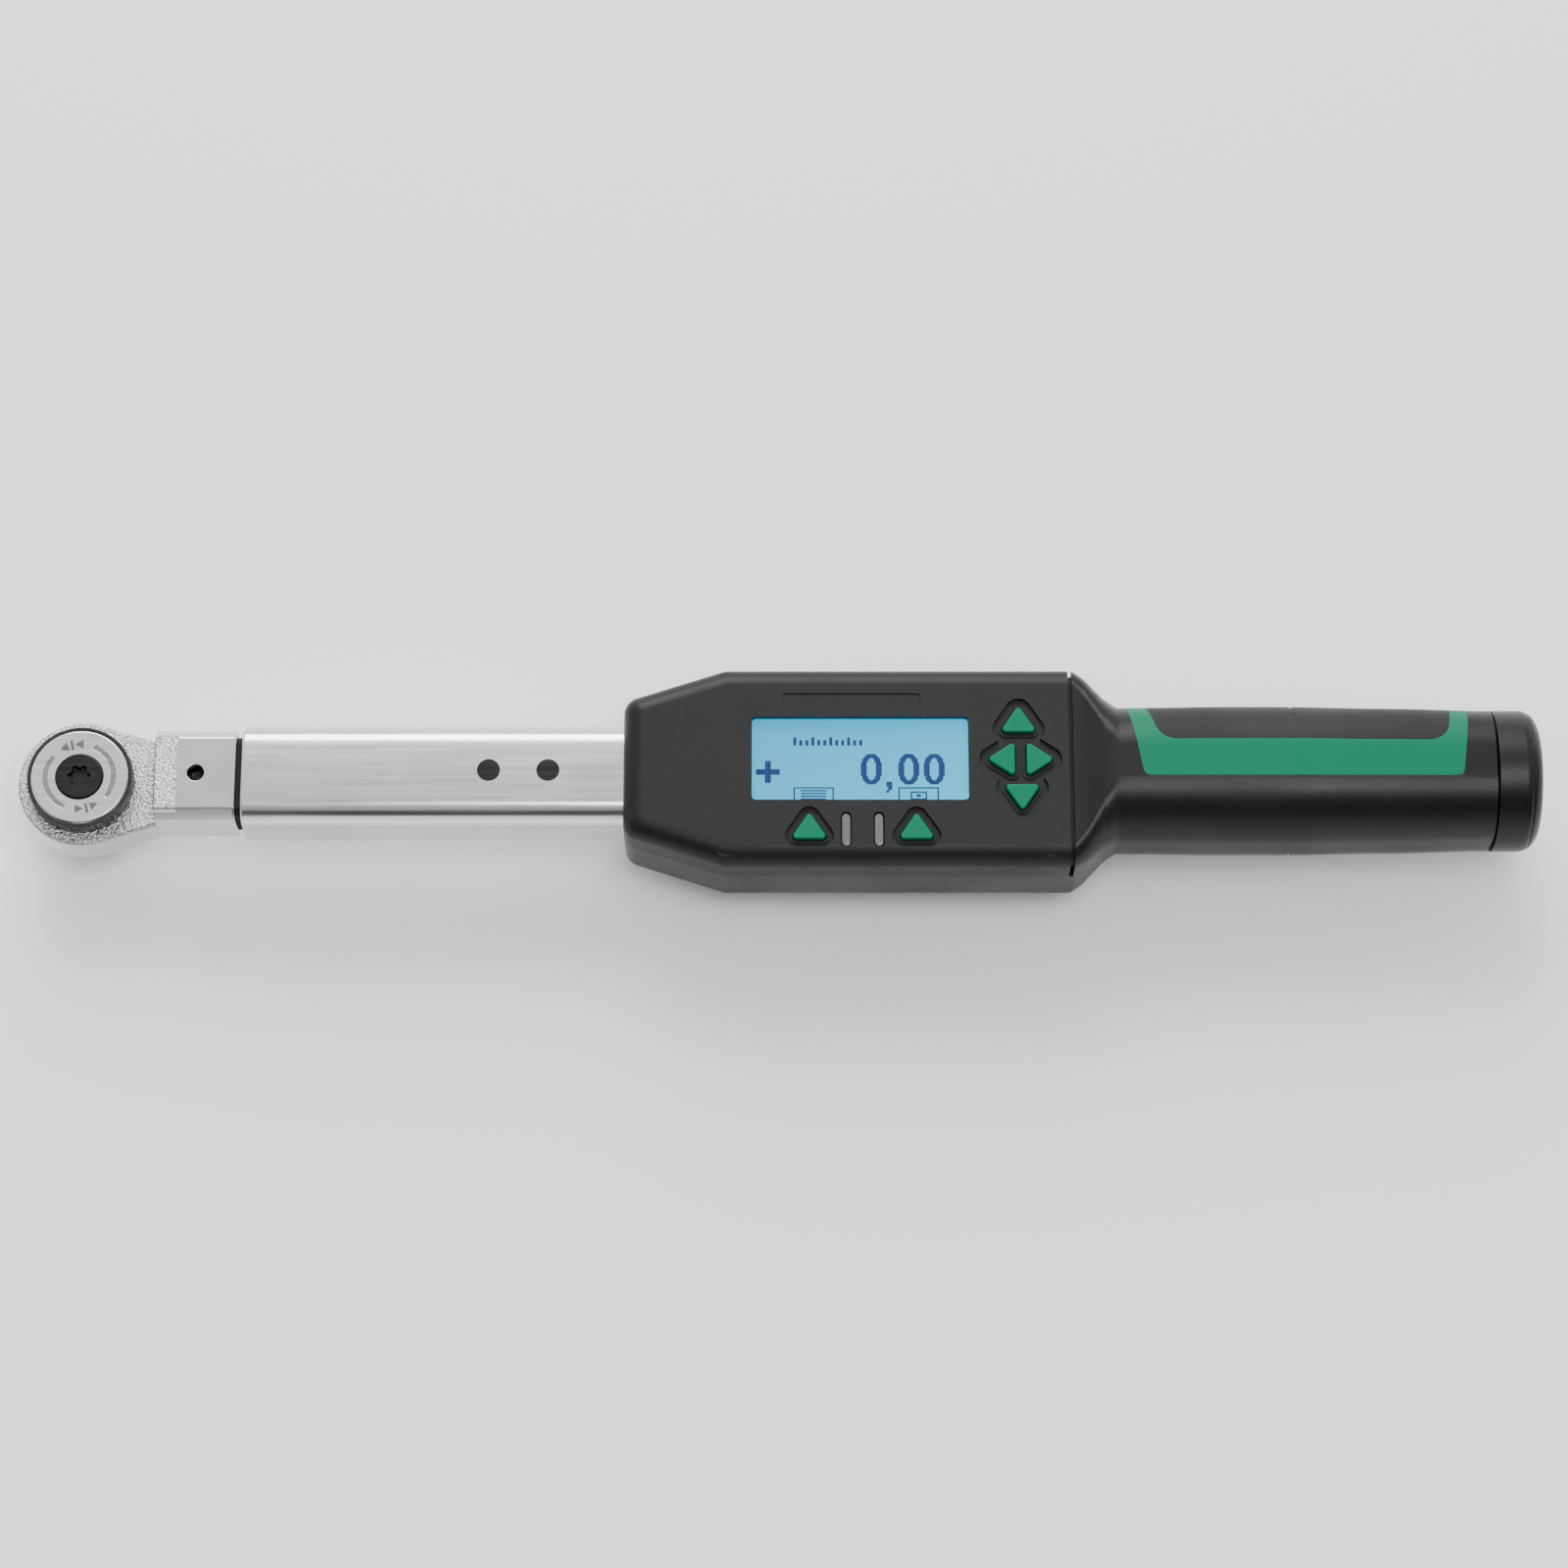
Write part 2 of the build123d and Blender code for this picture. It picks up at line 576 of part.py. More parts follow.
def gauge_lead():
    """Lead from the gauges along the tube and up to the board."""
    route = FilletPolyline(
        (GAUGE_X[1] + GAUGE_SIZE[0], LEAD_Y, AXIS_Z),
        (LEAD_EXIT_X - 8, LEAD_Y, AXIS_Z),
        (LEAD_EXIT_X, LEAD_END_Y, BOARD_TOP_Z - BOARD_THICKNESS - 6),
        (LEAD_EXIT_X, LEAD_END_Y, BOARD_TOP_Z - BOARD_THICKNESS),
        radius=LEAD_BEND,
    )
    start = Plane(origin=route @ 0, z_dir=route % 0)
    return one(sweep(start * Circle(LEAD_RADIUS), route))


def tube():
    """Rectangular steel tube from the beam to the batteries."""
    shape = bar_section(TUBE_WIDTH, TUBE_HEIGHT, TUBE_CORNER, TUBE_START_X, TUBE_END_X)
    shape = fillet(shape.faces().sort_by(Axis.X)[0].edges(), 0.8)
    shape -= bar_section(
        TUBE_WIDTH - 2 * TUBE_WALL, TUBE_HEIGHT - 2 * TUBE_WALL, TUBE_CORNER - TUBE_WALL, TUBE_START_X, TUBE_END_X)
    for x in PIN_X:
        shape -= rod(PIN_RADIUS, -5, 30, x)
    shape -= rod(LEAD_HOLE_RADIUS, AXIS_Z, 2 * AXIS_Z + 1, LEAD_EXIT_X, LEAD_END_Y)
    return one(shape)


# --- housing and handle ------------------------------------------------------------------------------
def housing_block(inset=0.0):
    """Housing outline with tapered nose, open-ended at the neck, inset for its hollow."""
    half = HOUSING_HALF_WIDTH - inset
    nose = NOSE_HALF_WIDTH - inset
    start = HOUSING_START_X + inset
    full = HOUSING_FULL_X + 0.3 * inset
    outline = Polygon(
        (start, -nose), (full, -half), (HOUSING_END_X, -half),
        (HOUSING_END_X, half), (full, half), (start, nose), align=None)
    body = prism(outline, HOUSING_BOTTOM_Z + inset, HOUSING_TOP_Z - inset)
    corners = body.edges().filter_by(Axis.Z).sort_by(Axis.X)[:2]
    body = fillet(corners, NOSE_CORNER - inset / 2)
    edge = HOUSING_EDGE - inset
    rims = body.edges().filter_by(Axis.Z, reverse=True).filter_by(lambda e: e.center().X < HOUSING_END_X - 0.5)
    return fillet(rims, edge)


def between(start, end, share):
    """Value part of the way from one size to another."""
    return start + (end - start) * share


def neck_section(length_share, share):
    """Rounded rectangle between the housing's section and the handle's."""
    x = between(HOUSING_END_X, HANDLE_START_X, length_share)
    half = between(HOUSING_HALF_WIDTH, HANDLE_HALF, share)
    low = between(HOUSING_BOTTOM_Z, CAP_AXIS_Z - HANDLE_HALF, share)
    high = between(HOUSING_TOP_Z, CAP_AXIS_Z + HANDLE_HALF, share)
    corner = between(HOUSING_EDGE, HANDLE_CORNER, share)
    plane = Plane(origin=(x, 0, (low + high) / 2), x_dir=(0, 1, 0), z_dir=(1, 0, 0))
    return plane * RectangleRounded(2 * half, high - low, corner)


def neck():
    """Flare from the housing down to the handle."""
    return loft([neck_section(*step) for step in NECK_STEPS], ruled=True)


def handle_bar(inset=0.0):
    """Straight part of the handle, inset all round."""
    size = 2 * (HANDLE_HALF - inset)
    return bar_section(size, size, HANDLE_CORNER - inset, HANDLE_START_X, HANDLE_END_X, CAP_AXIS_Z)


def plan_wedge(xs, front_y, corner):
    """Plan outline open towards the back of the handle, made solid through the handle."""
    back_y = 40.0
    reach = (back_y - front_y) / (20.0 - front_y)
    left = xs[1] + (xs[0] - xs[1]) * reach
    right = xs[2] + (xs[3] - xs[2]) * reach
    outline = Polygon((left, back_y), (xs[1], front_y), (xs[2], front_y), (right, back_y), align=None)
    outline = fillet(outline.vertices().sort_by(Axis.Y)[:2], corner)
    return prism(outline, -20, 50)


def tube_cutter(x0, x1):
    """Outline of the tube."""
    return bar_section(TUBE_WIDTH, TUBE_HEIGHT, TUBE_CORNER, x0, x1)


def post_cutters():
    """Holes and head pockets for the shell screws."""
    head_z = HOUSING_BOTTOM_Z + SHELL_SCREW_SINK
    cutters = []
    for x, y in SCREW_POSTS:
        hole = rod(SHELL_SCREW_HEAD_RADIUS, HOUSING_BOTTOM_Z - 1, head_z + SHELL_SCREW_HEAD_HEIGHT, x, y)
        hole += rod(SHELL_SCREW_RADIUS, head_z, head_z + SHELL_SCREW_LENGTH, x, y)
        cutters.append(hole)
    return cutters


def shell_screws():
    """Screws from below through both shells into the lid."""
    head_z = HOUSING_BOTTOM_Z + SHELL_SCREW_SINK
    screws = []
    for x, y in SCREW_POSTS:
        head = rod(SHELL_SCREW_HEAD_RADIUS, head_z, head_z + SHELL_SCREW_HEAD_HEIGHT, x, y)
        head -= Pos(x, y, head_z) * extrude(RegularPolygon(1.4, 6), 1.2)
        screws.append(head + rod(
            SHELL_SCREW_RADIUS, head_z + SHELL_SCREW_HEAD_HEIGHT, head_z + SHELL_SCREW_LENGTH, x, y))
    return screws


def posts(z0, z1):
    """Round posts for the screws."""
    return [rod(POST_RADIUS, z0, z1, x, y) for x, y in SCREW_POSTS]


def keep_z(shape, z0, z1):
    """Slice of a shape between two heights."""
    return shape & block(0, 500, -60, 60, z0, z1)


def key_outline(place):
    """Rounded triangle of a key."""
    x, y, angle = place
    half = KEY_BASE / 2
    triangle = Polygon((0, -half), (KEY_HEIGHT, 0), (0, half), align=None)
    triangle = fillet(triangle.vertices(), KEY_CORNER)
    return Pos(x, y) * Rot(0, 0, angle) * triangle


def all_keys():
    """Every key by node name."""
    return {**ARROW_KEYS, **SOFT_KEYS}


def key(place):
    """Key cap with the flange that keeps it under the lid."""
    outline = key_outline(place)
    cap = prism(outline, KEY_BOTTOM_Z, KEY_TOP_Z)
    cap = fillet(cap.faces().sort_by(Axis.Z)[-1].edges(), 0.5)
    flange = prism(offset(outline, KEY_FLANGE), KEY_BOTTOM_Z, KEY_BOTTOM_Z + KEY_FLANGE_HEIGHT)
    return one(cap + flange)


def slot(x, grow=0.0):
    """Rounded slot of a signal light."""
    y0, y1 = GUIDE_Y
    outline = RectangleRounded(GUIDE_WIDTH + 2 * grow, y1 - y0 + 2 * grow, GUIDE_WIDTH / 2 + grow - 0.01)
    return Pos(x, (y0 + y1) / 2) * outline


def window_outline(grow=0.0):
    """Window opening, grown all round."""
    width = WINDOW_X[1] - WINDOW_X[0] + 2 * grow
    height = WINDOW_Y[1] - WINDOW_Y[0] + 2 * grow
    centre = Pos(sum(WINDOW_X) / 2, sum(WINDOW_Y) / 2)
    return centre * RectangleRounded(width, height, WINDOW_CORNER + grow)


def display_lid():
    """Upper cover with window, key openings and light slots."""
    top = HOUSING_TOP_Z
    lid = keep_z(housing_block(), LID_SEAM_Z, 99) & block(0, LID_END_X, -60, 60, 0, 99)
    inner = keep_z(housing_block(WALL), -10, 99) & block(0, LID_END_X - WALL, -60, 60, -10, 99)
    lid -= inner
    for post in posts(LID_SEAM_Z, top - WALL / 2):
        lid += post
    for cutter in post_cutters():
        lid -= cutter
    lid -= prism(window_outline(), top - WALL - 1, top + 1)
    lid -= prism(window_outline(WINDOW_LAP), top - WALL - 1, top - WINDOW_DEPTH)
    pads = [offset(key_outline(p), ARROW_RECESS) for p in ARROW_KEYS.values()]
    pads += [offset(key_outline(p), SOFT_RECESS) for p in SOFT_KEYS.values()]
    for pad in pads:
        lid -= prism(pad, top - KEY_RECESS_DEPTH, top + 1)
    for place in all_keys().values():
        lid -= prism(offset(key_outline(place), AIR), top - WALL - 1, top)
    for x in GUIDE_X:
        lid -= prism(slot(x), top - WALL - 2, top + 1)
    plate = Pos(*PLATE_CENTRE) * RectangleRounded(PLATE_RECESS[0], PLATE_RECESS[1], 1.2)
    lid -= prism(plate, top - PLATE_RECESS[2], top + 1)
    lid -= tube_cutter(HOUSING_START_X - 1, LID_END_X + 1)
    return one(lid)


def light_guide(x):
    """Translucent insert of a signal light."""
    insert = prism(slot(x), HOUSING_TOP_Z - WALL - 1, HOUSING_TOP_Z)
    return one(insert & housing_block(GUIDE_SINK))


def handle_hollows():
    """Room inside neck and handle, between the ribs that carry the tube."""
    width, height = HANDLE_HOLLOW
    starts = [NECK_HOLLOW_X] + [x + RIB_THICKNESS / 2 for x in RIB_X]
    ends = [x - RIB_THICKNESS / 2 for x in RIB_X] + [TUBE_END_X - END_WALL]
    return [
        bar_section(width, height, HANDLE_HOLLOW_CORNER, start, end, CAP_AXIS_Z)
        for start, end in zip(starts, ends)
    ]


@cache
def handle_shell():
    """Hollow neck and handle with ribs round the tube and the threaded end."""
    shell = neck() + handle_bar()
    for hollow in handle_hollows():
        shell -= hollow
    shell -= tube_cutter(HOUSING_START_X, TUBE_END_X)
    shell -= bar(SPIGOT_RADIUS + RUNNING, TUBE_END_X, HANDLE_END_X + 1, 0, CAP_AXIS_Z)
    return shell - grip_inlay()


@cache
def grip_inlay():
    """Outer skin of the handle inside the outline of the coloured band."""
    skin = handle_bar() - handle_bar(BAND_DEPTH)
    return skin & plan_wedge(BAND_X, BAND_FRONT_Y, BAND_CORNER)


def grip_band():
    """Coloured band over the crown and under the handle."""
    return one(grip_inlay() - plan_wedge(PAD_X, PAD_FRONT_Y, PAD_CORNER))


def grip_pad():
    """Dark soft field on the back of the handle."""
    return one(grip_inlay() & plan_wedge(PAD_X, PAD_FRONT_Y, PAD_CORNER))


def housing_ring(z0, z1):
    """Side wall of the housing between two heights."""
    return keep_z(housing_block(), z0, z1) - keep_z(housing_block(WALL), z0 - 1, z1 + 1)


def upper_shell():
    """Collar under the lid and upper half of neck and handle."""
    shell = housing_ring(PARTING_Z, LID_SEAM_Z)
    for post in posts(PARTING_Z, LID_SEAM_Z):
        shell += post
    shell -= tube_cutter(HOUSING_START_X - 1, HOUSING_END_X)
    shell += keep_z(handle_shell(), PARTING_Z, 99)
    for cutter in post_cutters():
        shell -= cutter
    return one(shell)


def lower_shell():
    """Tub of the housing and lower half of neck and handle."""
    shell = keep_z(housing_block(), -10, PARTING_Z) - keep_z(housing_block(WALL), -10, PARTING_Z + 1)
    for post in posts(HOUSING_BOTTOM_Z + WALL / 2, PARTING_Z):
        shell += post
    shell -= tube_cutter(HOUSING_START_X - 1, HOUSING_END_X)
    shell += keep_z(handle_shell(), -20, PARTING_Z)
    for cutter in post_cutters():
        shell -= cutter
    return one(shell)


# --- electronics -------------------------------------------------------------------------------------
def main_board():
    """Circuit board over the tube, notched round the screw posts."""
    low = BOARD_TOP_Z - BOARD_THICKNESS
    board = block(*BOARD_X, -BOARD_HALF_WIDTH, BOARD_HALF_WIDTH, low, BOARD_TOP_Z)
    board &= housing_block(WALL + 0.8)
    for x, y in SCREW_POSTS:
        board -= rod(POST_RADIUS + 0.6, low, BOARD_TOP_Z, x, y)
        room = POST_RADIUS + 0.6
        board -= block(x - room, x + room, min(y, 2 * y), max(y, 2 * y), low, BOARD_TOP_Z)
    return one(board)


def display_window():
    """Clear pane behind the window opening."""
    top = HOUSING_TOP_Z - WINDOW_DEPTH
    return one(prism(window_outline(WINDOW_LAP), top - WINDOW_THICKNESS, top))


def display_panel():
    """Dot matrix display."""
    return one(prism(window_outline(0.6), BOARD_TOP_Z, BOARD_TOP_Z + PANEL_THICKNESS))


def display_frame():
    """Frame that holds the display to the board."""
    outline = window_outline(FRAME_LAP) - window_outline(0.6)
    return one(prism(outline, BOARD_TOP_Z, BOARD_TOP_Z + PANEL_THICKNESS + 0.1))


def key_mat():
    """Contact mat under the arrow keys and the soft keys."""
    arrows = block(*ARROW_MAT, BOARD_TOP_Z, BOARD_TOP_Z + MAT_THICKNESS)
    softs = block(*SOFT_MAT, BOARD_TOP_Z, BOARD_TOP_Z + MAT_THICKNESS)
    for x in GUIDE_X:
        softs -= prism(slot(x, 0.6), BOARD_TOP_Z, BOARD_TOP_Z + 1)
    return [one(arrows), one(softs)]


def key_domes():
    """Snap domes under the keys."""
    low = BOARD_TOP_Z + MAT_THICKNESS
    domes = []
    for x, y, angle in all_keys().values():
        reach = KEY_HEIGHT * 0.36
        place = (x + reach * cos(radians(angle)), y + reach * sin(radians(angle)))
        domes.append(rod(DOME_RADIUS, low, low + DOME_HEIGHT, *place))
    return domes


def signal_lamps():
    """Lamps under the light guides."""
    length, width, height = LAMP_SIZE
    y = sum(GUIDE_Y) / 2
    return [
        block(x - length / 2, x + length / 2, y - width / 2, y + width / 2, BOARD_TOP_Z, BOARD_TOP_Z + height)
        for x in GUIDE_X
    ]


def buzzer():
    """Sounder under the board beside the tube."""
    top = BOARD_TOP_Z - BOARD_THICKNESS
    return rod(BUZZER_RADIUS, top - BUZZER_HEIGHT, top, *BUZZER_PLACE)


# --- batteries and cap -------------------------------------------------------------------------------
def battery_sleeve():
    """Plastic sleeve that fills the tube round the cells."""
    start = CELL_START_X - 4
    shape = bar_section(
        TUBE_WIDTH - 2 * TUBE_WALL, TUBE_HEIGHT - 2 * TUBE_WALL, TUBE_CORNER - TUBE_WALL, start, TUBE_END_X)
    return one(shape - bar(SLEEVE_BORE, start + 2, TUBE_END_X))


def front_contact():
    """Contact at the inner end of the cells."""
    return bar(FRONT_CONTACT_RADIUS, CELL_START_X - CONTACT_THICKNESS, CELL_START_X)


def battery(index):
    """Round cell with its button end towards the display."""
    start = CELL_START_X + index * CELL_LENGTH
    button_radius, button_height = CELL_BUTTON
    can = bar(CELL_RADIUS, start + button_height, start + CELL_LENGTH)
    return one(can + bar(button_radius, start, start + button_height))


def cells_end():
    """Where the rear cell ends."""
    return CELL_START_X + 2 * CELL_LENGTH


def battery_spring():
    """Coil that presses on the rear cell."""
    height = CARRIER_X - cells_end() - 2 * CELL_SPRING_WIRE - 0.4
    spring = coil(CELL_SPRING_RADIUS, CELL_SPRING_WIRE, height, 3)
    return one(Pos(cells_end() + CELL_SPRING_WIRE + 0.2, 0, AXIS_Z) * Rot(0, 90, 0) * spring)


def contact_carrier():
    """Contact disc with the stem that the cap turns on."""
    end = CARRIER_X + CARRIER_THICKNESS
    shape = bar(CARRIER_RADIUS, CARRIER_X, end, 0, CAP_AXIS_Z)
    shape += bar(POST_STEM_RADIUS, end, POST_HEAD_X, 0, CAP_AXIS_Z)
    shape += bar(POST_HEAD_RADIUS, POST_HEAD_X, POST_HEAD_X + POST_HEAD_THICKNESS, 0, CAP_AXIS_Z)
    return one(shape)


def seal_x():
    """Middle of the cap seal along the spigot."""
    return CAP_START_X - 1.6


def cap_seal():
    """Ring seal on the spigot."""
    centre = SPIGOT_RADIUS - CAP_SEAL_RADIUS - RUNNING
    return Pos(seal_x(), 0, CAP_AXIS_Z) * Rot(0, 90, 0) * Torus(centre, CAP_SEAL_RADIUS)


def end_cap():
    """Screw cap with its threaded spigot and the hub for the carrier's stem."""
    spigot_start = CAP_START_X - SPIGOT_LENGTH
    cap = bar(CAP_RADIUS, CAP_START_X, CAP_END_X, 0, CAP_AXIS_Z)
    cap = fillet(cap.edges().filter_by(GeomType.CIRCLE).sort_by(Axis.X)[-1:], CAP_EDGE)
    spigot = bar(SPIGOT_RADIUS, spigot_start, CAP_START_X, 0, CAP_AXIS_Z)
    cap = cap + spigot
    cap -= bar(SPIGOT_RADIUS - SPIGOT_WALL, spigot_start, CAP_END_X - CAP_WALL - 2, 0, CAP_AXIS_Z)
    cap += bar(POST_HEAD_RADIUS + 2, CAP_START_X - 2, CAP_END_X - CAP_WALL, 0, CAP_AXIS_Z)
    cap -= bar(POST_STEM_RADIUS + RUNNING, spigot_start, POST_HEAD_X, 0, CAP_AXIS_Z)
    head_end = POST_HEAD_X + POST_HEAD_THICKNESS + RUNNING
    cap -= bar(POST_HEAD_RADIUS + RUNNING, POST_HEAD_X - RUNNING, head_end, 0, CAP_AXIS_Z)
    groove_start = seal_x() - CAP_SEAL_RADIUS
    groove_end = seal_x() + CAP_SEAL_RADIUS
    groove = bar(SPIGOT_RADIUS + 1, groove_start, groove_end, 0, CAP_AXIS_Z)
    groove -= bar(SPIGOT_RADIUS - 2 * CAP_SEAL_RADIUS - RUNNING, groove_start, groove_end, 0, CAP_AXIS_Z)
    return one(cap - groove)


def build():
    """Every node by name."""
    nodes = {
        "ratchet_body": ratchet_body(),
        "cover_plate": cover_plate(),
        "cover_screws": cover_screws(),
        "drive_wheel": drive_wheel(),
        "detent_ball": detent_ball(),
        "ball_spring": ball_spring(),
        "pawl": pawl(),
        "pawl_pin": pawl_pin(),
        "reversing_ring": reversing_ring(),
        "reversing_disc": reversing_disc(),
        "reversing_plunger": reversing_plunger(),
        "plunger_spring": plunger_spring(),
        "disc_screw": disc_screw(),
        "catch_pin": catch_pin(),
        "catch_spring": catch_spring(),
        "measuring_beam": measuring_beam(),
        "beam_seal": beam_seal(),
        "beam_pins": beam_pins(),
        "strain_gauges": strain_gauges(),
        "gauge_lead": gauge_lead(),
        "tube": tube(),
        "display_lid": display_lid(),
        "upper_shell": upper_shell(),
        "lower_shell": lower_shell(),
        "shell_screws": shell_screws(),
        "grip_band": grip_band(),
        "grip_pad": grip_pad(),
        "main_board": main_board(),
        "display_window": display_window(),
        "display_panel": display_panel(),
        "display_frame": display_frame(),
        "key_mat": key_mat(),
        "key_domes": key_domes(),
        "signal_lamps": signal_lamps(),
        "buzzer": buzzer(),
        "battery_sleeve": battery_sleeve(),
        "front_contact": front_contact(),
        "battery_front": battery(0),
        "battery_rear": battery(1),
        "battery_spring": battery_spring(),
        "contact_carrier": contact_carrier(),
        "cap_seal": cap_seal(),
        "end_cap": end_cap(),
    }
    for number, x in enumerate(GUIDE_X, 1):
        nodes[f"light_guide_{number}"] = light_guide(x)
    for name, place in all_keys().items():
        nodes[name] = key(place)
    return nodes


def main():
    """Writes one STEP file per node."""
    os.makedirs("parts", exist_ok=True)
    for name, shape in build().items():
        solid = Compound(children=shape) if isinstance(shape, list) else shape
        export_step(solid, f"parts/{name}.step")


main()
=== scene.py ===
"""Looks of an electronic torque wrench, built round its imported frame.

Each sub-assembly is a class that holds its sizes, makes its pieces and dresses them. Units are metres in the
frame's own axes: +X from the ratchet to the end cap, +Y to the back of the grip, +Z out of the display.
"""
from __future__ import annotations

import json
import logging
import math
from collections.abc import Callable
from dataclasses import dataclass, field
from enum import Enum

import bmesh
import bpy
from mathutils import Matrix, Vector


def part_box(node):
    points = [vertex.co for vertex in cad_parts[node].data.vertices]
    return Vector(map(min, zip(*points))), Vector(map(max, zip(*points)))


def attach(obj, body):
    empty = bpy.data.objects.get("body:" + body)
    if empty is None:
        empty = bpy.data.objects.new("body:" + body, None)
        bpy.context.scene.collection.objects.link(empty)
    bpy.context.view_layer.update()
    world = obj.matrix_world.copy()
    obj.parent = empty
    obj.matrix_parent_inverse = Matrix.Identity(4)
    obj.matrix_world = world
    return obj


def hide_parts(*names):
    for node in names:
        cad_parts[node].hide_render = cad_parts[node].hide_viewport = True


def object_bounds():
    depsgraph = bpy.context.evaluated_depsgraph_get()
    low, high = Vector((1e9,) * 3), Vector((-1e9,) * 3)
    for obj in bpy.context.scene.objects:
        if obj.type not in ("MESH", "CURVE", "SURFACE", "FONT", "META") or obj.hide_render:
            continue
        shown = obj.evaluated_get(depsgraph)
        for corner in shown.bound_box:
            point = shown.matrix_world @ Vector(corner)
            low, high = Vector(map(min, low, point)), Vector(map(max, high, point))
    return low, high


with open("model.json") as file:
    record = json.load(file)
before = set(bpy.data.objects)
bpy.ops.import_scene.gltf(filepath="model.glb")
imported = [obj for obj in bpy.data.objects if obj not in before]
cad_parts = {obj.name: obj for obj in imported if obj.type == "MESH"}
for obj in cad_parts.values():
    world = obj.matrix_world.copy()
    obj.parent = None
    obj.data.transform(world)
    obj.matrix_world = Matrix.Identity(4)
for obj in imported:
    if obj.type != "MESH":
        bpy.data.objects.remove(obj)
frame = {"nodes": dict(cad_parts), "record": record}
CAD_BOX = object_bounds()

LOG = logging.getLogger("torque_wrench")
MM = 0.001
Socket = bpy.types.NodeSocket
Sockets = bpy.types.bpy_prop_collection
Node = bpy.types.Node
NodeTree = bpy.types.NodeTree
Object = bpy.types.Object
MeshData = bpy.types.Mesh
Shape = bmesh.types.BMesh
Colour = tuple[float, float, float]
Table = tuple[tuple[float, float], ...]
Outline = list[tuple[float, float]]
Dots = list[tuple[int, int]]
Change = Callable[[Shape], None]


# --- node tree helpers --------------------------------------------------------------------------------
class Tree:
    """Short way to add and join the nodes of one tree."""

    def __init__(self, tree: NodeTree) -> None:
        """Wraps a node tree.

        Args:
            tree: The tree that nodes are added to.
        """
        self.tree = tree

    def add(self, kind: str, **inputs: object) -> Node:
        """Adds a node and sets or links its inputs.

        Args:
            kind: Node type name.
            **inputs: Input names with spaces as underscores. A socket is linked, a constant is stored.

        Returns:
            The new node.
        """
        node = self.tree.nodes.new(kind)
        for key, value in inputs.items():
            self.put(node.inputs[key.replace("_", " ")], value)
        return node

    def put(self, slot: Socket, value: object) -> None:
        """Links a socket into an input, or stores a constant there.

        Args:
            slot: The input.
            value: A socket to link, or a constant.
        """
        if isinstance(value, Socket):
            self.tree.links.new(value, slot)
        else:
            slot.default_value = value

    def math(self, operation: str, *values: object) -> Socket:
        """Adds a Math node and returns its value.

        Args:
            operation: Name of the sum.
            *values: Sockets or numbers, in order.

        Returns:
            The result socket.
        """
        node = self.tree.nodes.new("ShaderNodeMath")
        node.operation = operation
        for index, value in enumerate(values):
            self.put(node.inputs[index], value)
        return node.outputs[0]

    def remap(
        self, value: Socket, low: float, high: float, start: float, end: float,
    ) -> Socket:
        """Maps a value from one span to another, held at both ends.

        Args:
            value: The value.
            low: Start of its span.
            high: End of its span.
            start: Result at the start.
            end: Result at the end.

        Returns:
            The result socket.
        """
        node = self.add("ShaderNodeMapRange", Value=value, From_Min=low, From_Max=high, To_Min=start, To_Max=end)
        return node.outputs[0]

    def blend(self, factor: object, first: object, second: object) -> Socket:
        """Mixes two colours.

        Args:
            factor: Share of the second colour.
            first: First colour.
            second: Second colour.

        Returns:
            The colour socket.
        """
        node = self.tree.nodes.new("ShaderNodeMix")
        node.data_type = "RGBA"
        self.put(node.inputs["Factor"], factor)
        self.put(node.inputs[6], first)
        self.put(node.inputs[7], second)
        return node.outputs[2]

    def noise(self, vector: object, scale: object, detail: float = 3.0) -> Socket:
        """Adds a noise texture and returns its value."""
        return self.add("ShaderNodeTexNoise", Vector=vector, Scale=scale, Detail=detail).outputs[0]


def group(name: str, inputs: dict[str, float], outputs: tuple[str, ...]) -> tuple[Tree, Sockets, Sockets]:
    """Starts a shader node group whose inputs are a vector and some numbers.

    Args:
        name: Group name.
        inputs: Number inputs with their usual values.
        outputs: Names of the value outputs.

    Returns:
        The tree, the sockets that bring its inputs and the sockets of its results.
    """
    tree = bpy.data.node_groups.new(name, "ShaderNodeTree")
    tree.interface.new_socket("Vector", in_out="INPUT", socket_type="NodeSocketVector")
    for key, value in inputs.items():
        tree.interface.new_socket(key, in_out="INPUT", socket_type="NodeSocketFloat").default_value = value
    for key in outputs:
        tree.interface.new_socket(key, in_out="OUTPUT", socket_type="NodeSocketFloat")
    return Tree(tree), tree.nodes.new("NodeGroupInput").outputs, tree.nodes.new("NodeGroupOutput").inputs


def make_moulded() -> NodeTree:
    """Spark-eroded moulding texture: a fine height and a slow change of sheen.

    Returns:
        The node group.
    """
    tree, given, result = group("moulded_texture", {"Scale": 2600.0, "Depth": 1.0}, ("Height", "Sheen"))
    fine = tree.noise(given["Vector"], given["Scale"], 2.0)
    slow = tree.noise(given["Vector"], 38.0, 4.0)
    tree.put(result["Height"], tree.math("MULTIPLY", fine, given["Depth"]))
    tree.put(result["Sheen"], slow)
    return tree.tree


def make_smudges() -> NodeTree:
    """Handling marks: soft patches with a few finer streaks.

    Returns:
        The node group.
    """
    tree, given, result = group("handling_marks", {"Scale": 60.0, "Amount": 1.0}, ("Mark",))
    patches = tree.noise(given["Vector"], given["Scale"], 5.0)
    streaks = tree.noise(given["Vector"], tree.math("MULTIPLY", given["Scale"], 7.0), 2.0)
    both = tree.math("ADD", tree.remap(patches, 0.42, 0.68, 0.0, 1.0), tree.math("MULTIPLY", streaks, 0.25))
    tree.put(result["Mark"], tree.math("MULTIPLY", both, given["Amount"]))
    return tree.tree


